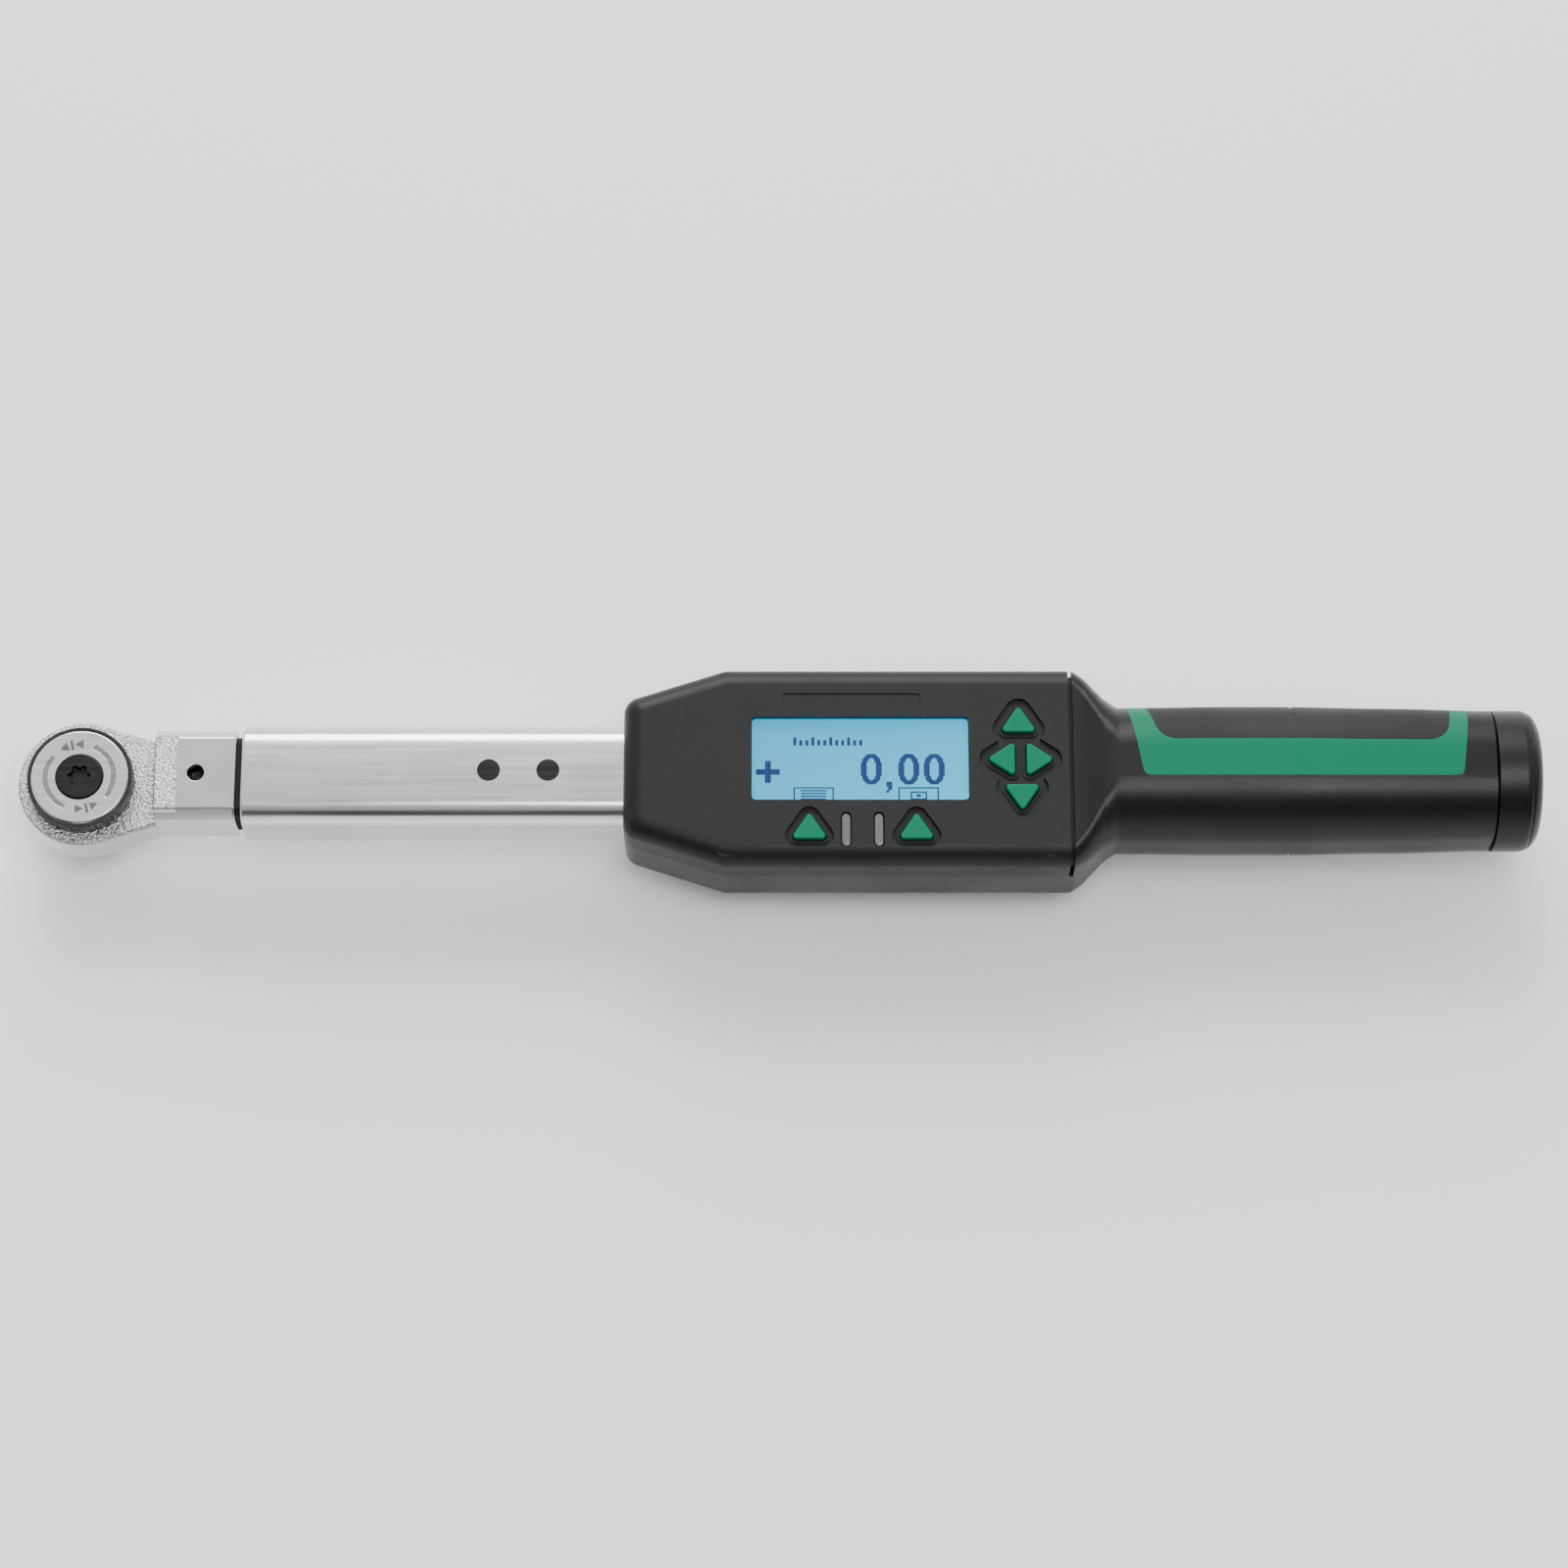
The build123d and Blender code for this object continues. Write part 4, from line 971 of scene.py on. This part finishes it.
@dataclass
class GapSeal:
    """Dark joint strip in the gap between the display lid and the neck."""

    gap: tuple[float, float] = (265.45 * MM, 266.7 * MM)
    inset: float = 1.6 * MM
    corner: float = 4.0 * MM
    inner_corner: float = 3.0 * MM
    inner_rise: float = 16.0 * MM
    clear: float = 0.1 * MM
    per_corner: int = 8

    def loop(self, half: float, low: float, high: float, corner: float) -> Outline:
        """Rounded rectangle in Y and Z with the same number of points for any size.

        Args:
            half: Half width.
            low: Lowest Z.
            high: Highest Z.
            corner: Corner radius.

        Returns:
            Points as Y and Z.
        """
        points = []
        centres = ((half - corner, high - corner), (corner - half, high - corner),
                   (corner - half, low + corner), (half - corner, low + corner))
        for index, (y, z) in enumerate(centres):
            for step in range(self.per_corner + 1):
                angle = math.radians(90 * (index + step / self.per_corner))
                points.append((y + corner * math.cos(angle), z + corner * math.sin(angle)))
        return points

    def build(self) -> None:
        """Makes the strip as a frame round the tube."""
        lid_low, lid_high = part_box("display_lid")
        tube_low, tube_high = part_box("tube")
        outer = self.loop(lid_high.y - self.inset, lid_low.z, lid_high.z - self.inset, self.corner)
        inner = self.loop(
            tube_high.y + self.clear, tube_low.z + self.inner_rise, tube_high.z + self.clear, self.inner_corner)
        shape = bmesh.new()
        rings = []
        for x in self.gap:
            for loop in (outer, inner):
                rings.append([shape.verts.new((x, y, z)) for y, z in loop])
        skin_rings(shape, rings, ((0, 2), (3, 1), (1, 0), (2, 3)))
        bmesh.ops.recalc_face_normals(shape, faces=shape.faces)
        publish("gap_seal", finished_mesh("gap_seal", shape), RUBBER, "wrench")


@dataclass
class KnurledRing:
    """Reversing ring with its ridged rim."""

    ridges: int = 84
    ridge_radius: float = 0.36 * MM
    ridge_sink: float = 0.18 * MM
    low_margin: float = 0.35 * MM
    high_margin: float = 0.45 * MM
    edge: float = 0.25 * MM

    def build(self) -> None:
        """Makes the ring from its node and lays the ridges round it."""
        low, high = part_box("reversing_ring")
        radius = (high.x - low.x) / 2
        piece = placed("reversing_ring_look", rounded_copy("reversing_ring", self.edge))
        sizes = {
            "Ridges": self.ridges,
            "Radius": radius - self.ridge_sink,
            "Ridge Radius": self.ridge_radius,
            "Low": low.z + self.low_margin,
            "High": high.z - self.high_margin,
        }
        mesh = run_tree(piece, self.ridge_tree(), sizes)
        publish("reversing_ring_look", mesh, KNURL_STEEL, "selector", ("reversing_ring",))

    def ridge_tree(self) -> NodeTree:
        """Geometry tree: upright rods on a circle, joined to the ring.

        Returns:
            The tree.
        """
        sizes = {"Ridges": "Int", "Radius": "Float", "Ridge Radius": "Float", "Low": "Float", "High": "Float"}
        made, given = piece_tree("knurl_ridges", sizes)
        circle = made.add("GeometryNodeMeshCircle", Vertices=given["Ridges"], Radius=given["Radius"])
        tall = made.math("SUBTRACT", given["High"], given["Low"])
        rod = made.add("GeometryNodeMeshCylinder", Vertices=6, Radius=given["Ridge Radius"], Depth=tall)
        middle = made.math("MULTIPLY", made.math("ADD", given["High"], given["Low"]), 0.5)
        rise = made.add("ShaderNodeCombineXYZ", Z=middle)
        lifted = made.add("GeometryNodeTransform", Geometry=circle.outputs[0], Translation=rise.outputs[0])
        spread = made.add("GeometryNodeInstanceOnPoints", Points=lifted.outputs[0], Instance=rod.outputs["Mesh"])
        solid = made.add("GeometryNodeRealizeInstances", Geometry=spread.outputs[0])
        joined_up = made.add("GeometryNodeJoinGeometry")
        for part in (given["Geometry"], solid.outputs[0]):
            made.put(joined_up.inputs[0], part)
        return finish_tree(made, joined_up.outputs[0], KNURL_STEEL)


@dataclass
class DirectionMarks:
    """Raised arrows on the reversing disc, beside each end of the swing."""

    circle: float = 9.2 * MM
    height: float = 0.25 * MM
    tilt: float = 14.5
    spread: float = 26.0
    size: float = 1.6 * MM
    # The arc grooves get thin dark sheets on their floors: painted shade in the grooves.
    groove_radii: tuple[float, float] = (8.65 * MM, 9.75 * MM)
    groove_half: float = 51.5
    groove_depth: float = 0.4 * MM
    groove_steps: int = 30
    sunk: float = 0.1 * MM
    floor_half: float = 0.05 * MM
    head: Table = ((-0.75, -0.6), (0.75, -0.6), (0.0, 0.8))
    stroke: Table = ((-0.8, -0.22), (0.8, -0.22), (0.8, 0.22), (-0.8, 0.22))

    def mark(self, name: str, angle: float, corners: Table) -> MeshData:
        """One raised mark on the circle.

        Args:
            name: Mesh name.
            angle: Place round the disc in degrees.
            corners: Corners out from and round the circle, in sizes of the mark.

        Returns:
            The mark's mesh.
        """
        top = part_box("reversing_disc")[1].z
        turn = Matrix.Rotation(math.radians(angle), 3, "Z")
        points = [Vector((self.circle + x * self.size, y * self.size, 0)) for x, y in corners]
        return prism_mesh(name, [(turn @ point)[:2] for point in points], top - self.sunk, top + self.height)

    def arc(self, angle: float) -> MeshData:
        """Thin dark sheet on the floor of one arc groove, painted shade in the groove.

        Args:
            angle: Middle of the arc in degrees.

        Returns:
            The mesh.
        """
        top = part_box("reversing_disc")[1].z - self.groove_depth
        shares = [2 * i / self.groove_steps - 1 for i in range(self.groove_steps + 1)]
        steps = [math.radians(angle + self.groove_half * share) for share in shares]
        inner, outer = self.groove_radii
        outline = [(outer * math.cos(a), outer * math.sin(a)) for a in steps]
        outline += [(inner * math.cos(a), inner * math.sin(a)) for a in reversed(steps)]
        return prism_mesh("arc", outline, top - self.floor_half, top + self.floor_half)

    def build(self) -> None:
        """Makes both groups of marks as one piece, and the painted-shade sheets of the grooves as another."""
        parts = []
        for side in (90.0, 270.0):
            centre = side + self.tilt
            parts.append(self.mark("bar", centre, self.stroke))
            parts += [self.mark("arrow", centre + way * self.spread / 2, self.head) for way in (-1, 1)]
        publish("direction_marks", joined("direction_marks", parts), MARK_STEEL, "selector")
        # Dark sheets in the arc grooves: painted shade.
        shade_sheets = [self.arc(self.tilt), self.arc(self.tilt + 180.0)]
        publish("groove_shade_sheets", joined("groove_shade_sheets", shade_sheets), GROOVE_SHADE, "selector")


@dataclass
class KeySurrounds:
    """Black lips round the keys, standing on the floor of each recess."""

    flange: float = 0.9 * MM
    corner: float = 0.9 * MM
    gap: float = 0.30 * MM
    width: float = 0.80 * MM
    floor: float = 1.4 * MM
    height: float = 0.55 * MM
    sunk: float = 0.05 * MM
    per_corner: int = 8
    points: dict[str, float] = field(default_factory=lambda: {
        "key_up": 90.0, "key_down": -90.0, "key_left": 180.0, "key_right": 0.0,
        "soft_key_left": 90.0, "soft_key_right": 90.0})

    def outline(self, node: str, angle: float, grow: float) -> Outline:
        """Rounded triangle round a key, grown by a margin.

        Args:
            node: The key.
            angle: Way that it points, in degrees.
            grow: The margin.

        Returns:
            Points as X and Y.
        """
        low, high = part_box(node)
        centre = (low + high) / 2
        turned = abs(math.cos(math.radians(angle))) < 0.5
        long_side, short_side = (high.y - low.y, high.x - low.x) if turned else (high.x - low.x, high.y - low.y)
        tall = long_side / 2 - self.flange - self.corner
        half = short_side / 2 - self.flange - self.corner
        spin = Matrix.Rotation(math.radians(angle), 2)
        corners = ((Vector((tall, 0.0)), -60.0, 60.0), (Vector((-tall, half)), 60.0, 180.0),
                   (Vector((-tall, -half)), 180.0, 300.0))
        loop = []
        for place, start, end in corners:
            for i in range(self.per_corner + 1):
                turn = math.radians(start + (end - start) * i / self.per_corner)
                reach = place + (self.corner + grow) * Vector((math.cos(turn), math.sin(turn)))
                moved = spin @ reach
                loop.append((centre.x + moved.x, centre.y + moved.y))
        return loop

    def lip(self, shape: Shape, node: str, angle: float) -> None:
        """Adds one lip to the mesh.

        Args:
            shape: Mesh to add to.
            node: The key.
            angle: Way that it points, in degrees.
        """
        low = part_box("display_lid")[1].z - self.floor - self.sunk
        levels = (low, low + self.height)
        inner = self.outline(node, angle, self.gap)
        outer = self.outline(node, angle, self.gap + self.width)
        rings = [[shape.verts.new((x, y, z)) for x, y in loop] for z in levels for loop in (inner, outer)]
        skin_rings(shape, rings, ((0, 1), (1, 3), (3, 2), (2, 0)))

    def build(self) -> None:
        """Makes every lip as one piece."""
        shape = bmesh.new()
        for node, angle in self.points.items():
            self.lip(shape, node, angle)
        bmesh.ops.recalc_face_normals(shape, faces=shape.faces)
        publish("key_surrounds", finished_mesh("key_surrounds", shape), RUBBER, "wrench")


@dataclass
class DisplayImage:
    """Dots of the display: a reading, a sign, two soft key labels and a state line."""

    pitch: float = 0.40 * MM
    fill: float = 0.97
    thickness: float = 0.02 * MM
    margin: tuple[float, float] = (1.9 * MM, 1.4 * MM)
    digits: tuple[int, ...] = (72, 97, 114)
    labels: tuple[int, int] = (27, 97)
    digit_size: tuple[int, int] = (14, 22)
    row_share: float = 0.98
    origin: Vector = field(default_factory=lambda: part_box("display_window")[0].copy())

    def ring_digit(self, column: int, row: int) -> Dots:
        """Tall zero from two ovals.

        Args:
            column: Left column.
            row: Lowest row.

        Returns:
            The lit dots.
        """
        cells = []
        wide, tall = self.digit_size
        for i in range(wide):
            for j in range(tall):
                x = (i - (wide - 1) / 2) / (wide / 2)
                y = (j - (tall - 1) / 2) / (tall / 2)
                outer = abs(x) ** 2.4 + abs(y) ** 2.4 <= 1.0
                inner = abs(x / 0.44) ** 2.2 + abs(y / 0.72) ** 2.2 <= 1.0
                if outer and not inner:
                    cells.append((column + i, row + j))
        return cells

    def bar_cells(self, column: int, row: int, wide: int, tall: int) -> Dots:
        """Filled rectangle."""
        return [(column + i, row + j) for i in range(wide) for j in range(tall)]

    def box_cells(self, column: int, row: int, wide: int, tall: int) -> Dots:
        """Outline with an open bottom.

        Args:
            column: Left column.
            row: Lowest row.
            wide: Columns.
            tall: Rows.

        Returns:
            The lit dots.
        """
        top = self.bar_cells(column, row + tall - 1, wide, 1)
        sides = self.bar_cells(column, row, 1, tall) + self.bar_cells(column + wide - 1, row, 1, tall)
        return top + sides

    def cells(self) -> Dots:
        """Every lit dot, as column and row from the lower left of the window.

        Returns:
            The lit dots.
        """
        lit = self.bar_cells(2, 21, 16, 4) + self.bar_cells(8, 15, 4, 16)
        for column in self.digits:
            lit += self.ring_digit(column, 14)
        lit += self.bar_cells(89, 12, 4, 4) + self.bar_cells(90, 10, 3, 2) + self.bar_cells(89, 8, 2, 2)
        left, right = self.labels
        for column in self.labels:
            lit += self.box_cells(column, 1, 27, 11)
        for row in (3, 5, 7, 9):
            lit += self.bar_cells(left + 5, row, 17, 1)
        lit += self.bar_cells(right + 8, 3, 11, 1) + self.bar_cells(right + 8, 8, 11, 1)
        lit += self.bar_cells(right + 8, 3, 1, 6) + self.bar_cells(right + 18, 3, 1, 6)
        lit += self.bar_cells(right + 12, 5, 3, 2)
        for step in range(12):
            lit += self.bar_cells(27 + 4 * step, 42, 2, 4 if step % 3 else 6)
        return lit

    def build(self) -> None:
        """Lays one small square on each lit dot."""
        left = self.origin.x + self.margin[0]
        front = self.origin.y + self.margin[1]
        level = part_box("display_panel")[1].z + self.thickness
        rise = self.pitch * self.row_share
        mesh = bpy.data.meshes.new("display_dots")
        points = [(left + c * self.pitch, front + r * rise, level) for c, r in sorted(set(self.cells()))]
        mesh.from_pydata(points, [], [])
        dots = run_tree(placed("display_dots", mesh), self.dot_tree(), {"Dot Size": self.pitch * self.fill})
        publish("display_dots", dots, DOT_INK, "wrench")

    def dot_tree(self) -> NodeTree:
        """Geometry tree: one thin square on each point.

        Returns:
            The tree.
        """
        made, given = piece_tree("display_dot_squares", {"Dot Size": "Float"})
        size = made.add("ShaderNodeCombineXYZ", X=given["Dot Size"], Y=given["Dot Size"], Z=self.thickness)
        square = made.add("GeometryNodeMeshCube", Size=size.outputs[0])
        spread = made.add("GeometryNodeInstanceOnPoints", Points=given["Geometry"], Instance=square.outputs[0])
        solid = made.add("GeometryNodeRealizeInstances", Geometry=spread.outputs[0])
        return finish_tree(made, solid.outputs[0], DOT_INK)


def dress_hidden() -> None:
    """Gives every frame node that is still shown its finish."""
    finishes = {
        "forged_chrome": FORGED_HEAD, "satin_steel": CHROME, "hard_steel": GROUND, "spring_steel": GROUND,
        "black_oxide": OXIDE, "housing_plastic": BLACK_LID, "handle_plastic": BLACK_SHELL, "soft_grip": SOFT_BLACK,
        "green_grip": GREEN_BAND, "green_key": GREEN_KEY, "black_rubber": RUBBER, "clear_pane": PANE,
        "light_guide": FROSTED, "display": DISPLAY_GLOW, "board": BOARD, "contact_metal": NICKEL,
        "cell_jacket": JACKET,
    }
    for part in frame["record"]["subparts"]:
        node = frame["nodes"][part["node"]]
        node.data.materials.clear()
        node.data.materials.append(finishes[part["material_slot"]].material())


@dataclass
class Studio:
    """Pale floor, soft lights and the camera."""

    distance: float = 1.215
    elevation: float = 71.0
    focal: float = 103.3
    target: tuple[float, float, float] = (189.4 * MM, 0.0, 11.5 * MM)
    floor_half: float = 3.0
    floor_drop: float = 0.2 * MM
    sky_strength: float = 1.45
    sky_steps: Table = (
        (-1.0, 0.95), (-0.955, 0.9), (-0.925, 0.05), (-0.77, 0.07), (-0.55, 0.38), (0.0, 0.50), (0.28, 0.62),
        (0.50, 1.0))

    def build(self) -> None:
        """Makes the floor, the lights, the sky and the camera."""
        low, high = CAD_BOX
        self.floor(low[2])
        centre = Vector(((low[0] + high[0]) / 2, 0.0, self.target[2]))
        self.light("key", centre + Vector((-0.15, 1.25, 0.98)), centre, 1.0, 28.0)
        self.light("top", centre + Vector((0.3, -0.25, 1.6)), centre, 0.7, 15.0)
        self.sky()
        self.camera(Vector(self.target))

    def floor(self, level: float) -> None:
        """Wide pale floor under the lowest point.

        Args:
            level: Height of the lowest point.
        """
        shape = bmesh.new()
        bmesh.ops.create_grid(shape, x_segments=8, y_segments=8, size=self.floor_half)
        bmesh.ops.translate(shape, vec=(0.19, 0.0, level - self.floor_drop), verts=shape.verts)
        mesh = finished_mesh("floor", shape)
        floor = placed("floor", mesh)
        material = bpy.data.materials.new("floor_white")
        material.use_nodes = True
        shader = material.node_tree.nodes["Principled BSDF"]
        shader.inputs["Base Color"].default_value = (0.95, 0.95, 0.95, 1.0)
        shader.inputs["Roughness"].default_value = 0.9
        mesh.materials.append(material)

    def light(self, name: str, place: Vector, target: Vector, size: float, power: float) -> None:
        """Square area light aimed at the wrench.

        Args:
            name: Lamp name.
            place: Its place.
            target: The point that it faces.
            size: Side of the square.
            power: Power in watts.
        """
        data = bpy.data.lights.new(name, "AREA")
        data.size = size
        data.energy = power
        lamp = placed(name, data)
        lamp.location = place
        lamp.rotation_euler = (target - place).to_track_quat("-Z", "Y").to_euler()

    def sky(self) -> None:
        """Studio sky, bright behind, grey overhead and with a dark band low in front."""
        world = bpy.data.worlds.new("studio")
        world.use_nodes = True
        bpy.context.scene.world = world
        tree = Tree(world.node_tree)
        ground = world.node_tree.nodes["Background"]
        way = tree.add("ShaderNodeTexCoord").outputs["Generated"]
        parts = tree.add("ShaderNodeSeparateXYZ", Vector=way)
        ramp = world.node_tree.nodes.new("ShaderNodeValToRGB")
        tree.put(ramp.inputs[0], tree.remap(parts.outputs[1], -1.0, 1.0, 0.0, 1.0))
        steps = ramp.color_ramp.elements
        while len(steps) < len(self.sky_steps):
            steps.new(0.5)
        for step, (way_y, shade) in zip(steps, self.sky_steps):
            step.position = (way_y + 1) / 2
            step.color = (shade, shade, shade * 1.01, 1.0)
        tree.put(ground.inputs["Color"], ramp.outputs[0])
        ground.inputs["Strength"].default_value = self.sky_strength

    def camera(self, target: Vector) -> None:
        """Camera above the front of the wrench.

        Args:
            target: The point that it faces.
        """
        data = bpy.data.cameras.new("camera")
        data.lens = self.focal
        data.sensor_width = 36.0
        data.clip_end = 20.0
        eye = placed("camera", data)
        lift = math.radians(self.elevation)
        eye.location = target + self.distance * Vector((0.0, -math.cos(lift), math.sin(lift)))
        eye.rotation_euler = (target - eye.location).to_track_quat("-Z", "Y").to_euler()
        bpy.context.scene.camera = eye


def main() -> None:
    """Builds the looks in order."""
    logging.basicConfig(level=logging.INFO, format="%(name)s: %(message)s")
    Studio().build()
    dress_hidden()
    handle = HandleForm().change
    copies = [
        CopiedPiece("ratchet_body", "wrench", "forged_chrome", FORGED_HEAD, 0.3 * MM),
        CopiedPiece("reversing_disc", "selector", "satin_steel", CHROME, 0.15 * MM),
        CopiedPiece("disc_screw", "square_drive", "black_oxide", OXIDE, 0.15 * MM),
        CopiedPiece("measuring_beam", "wrench", "satin_steel", FORGED_HOLDER, 0.3 * MM),
        CopiedPiece("tube", "wrench", "satin_steel", CHROME, 0.2 * MM, TubeForm().change),
        CopiedPiece("beam_pins", "wrench", "black_oxide", OXIDE, 0.2 * MM, TubeForm().change),
        CopiedPiece("display_lid", "wrench", "housing_plastic", BLACK_LID, 0.25 * MM),
        CopiedPiece("upper_shell", "wrench", "handle_plastic", BLACK_SHELL, 0.25 * MM, handle),
        CopiedPiece("lower_shell", "wrench", "handle_plastic", BLACK_SHELL, 0.25 * MM, handle),
        CopiedPiece("grip_band", "wrench", "green_grip", GREEN_BAND, 0.2 * MM, handle),
        CopiedPiece("grip_pad", "wrench", "soft_grip", SOFT_BLACK, 0.2 * MM, handle),
        CopiedPiece("end_cap", "battery_cap", "handle_plastic", BLACK_SHELL, 0.3 * MM, CapForm().change),
        CopiedPiece("light_guide_1", "wrench", "light_guide", FROSTED, 0.3 * MM, GuideForm("light_guide_1").change),
        CopiedPiece("light_guide_2", "wrench", "light_guide", FROSTED, 0.3 * MM, GuideForm("light_guide_2").change),
    ]
    for key in ("key_up", "key_down", "key_left", "key_right", "soft_key_left", "soft_key_right"):
        copies.append(CopiedPiece(key, key + "_cap", "green_key", GREEN_KEY, 0.35 * MM))
    for piece in copies:
        piece.build()
    GapSeal().build()
    KnurledRing().build()
    DirectionMarks().build()
    KeySurrounds().build()
    DisplayImage().build()


if __name__ == "__main__":
    main()
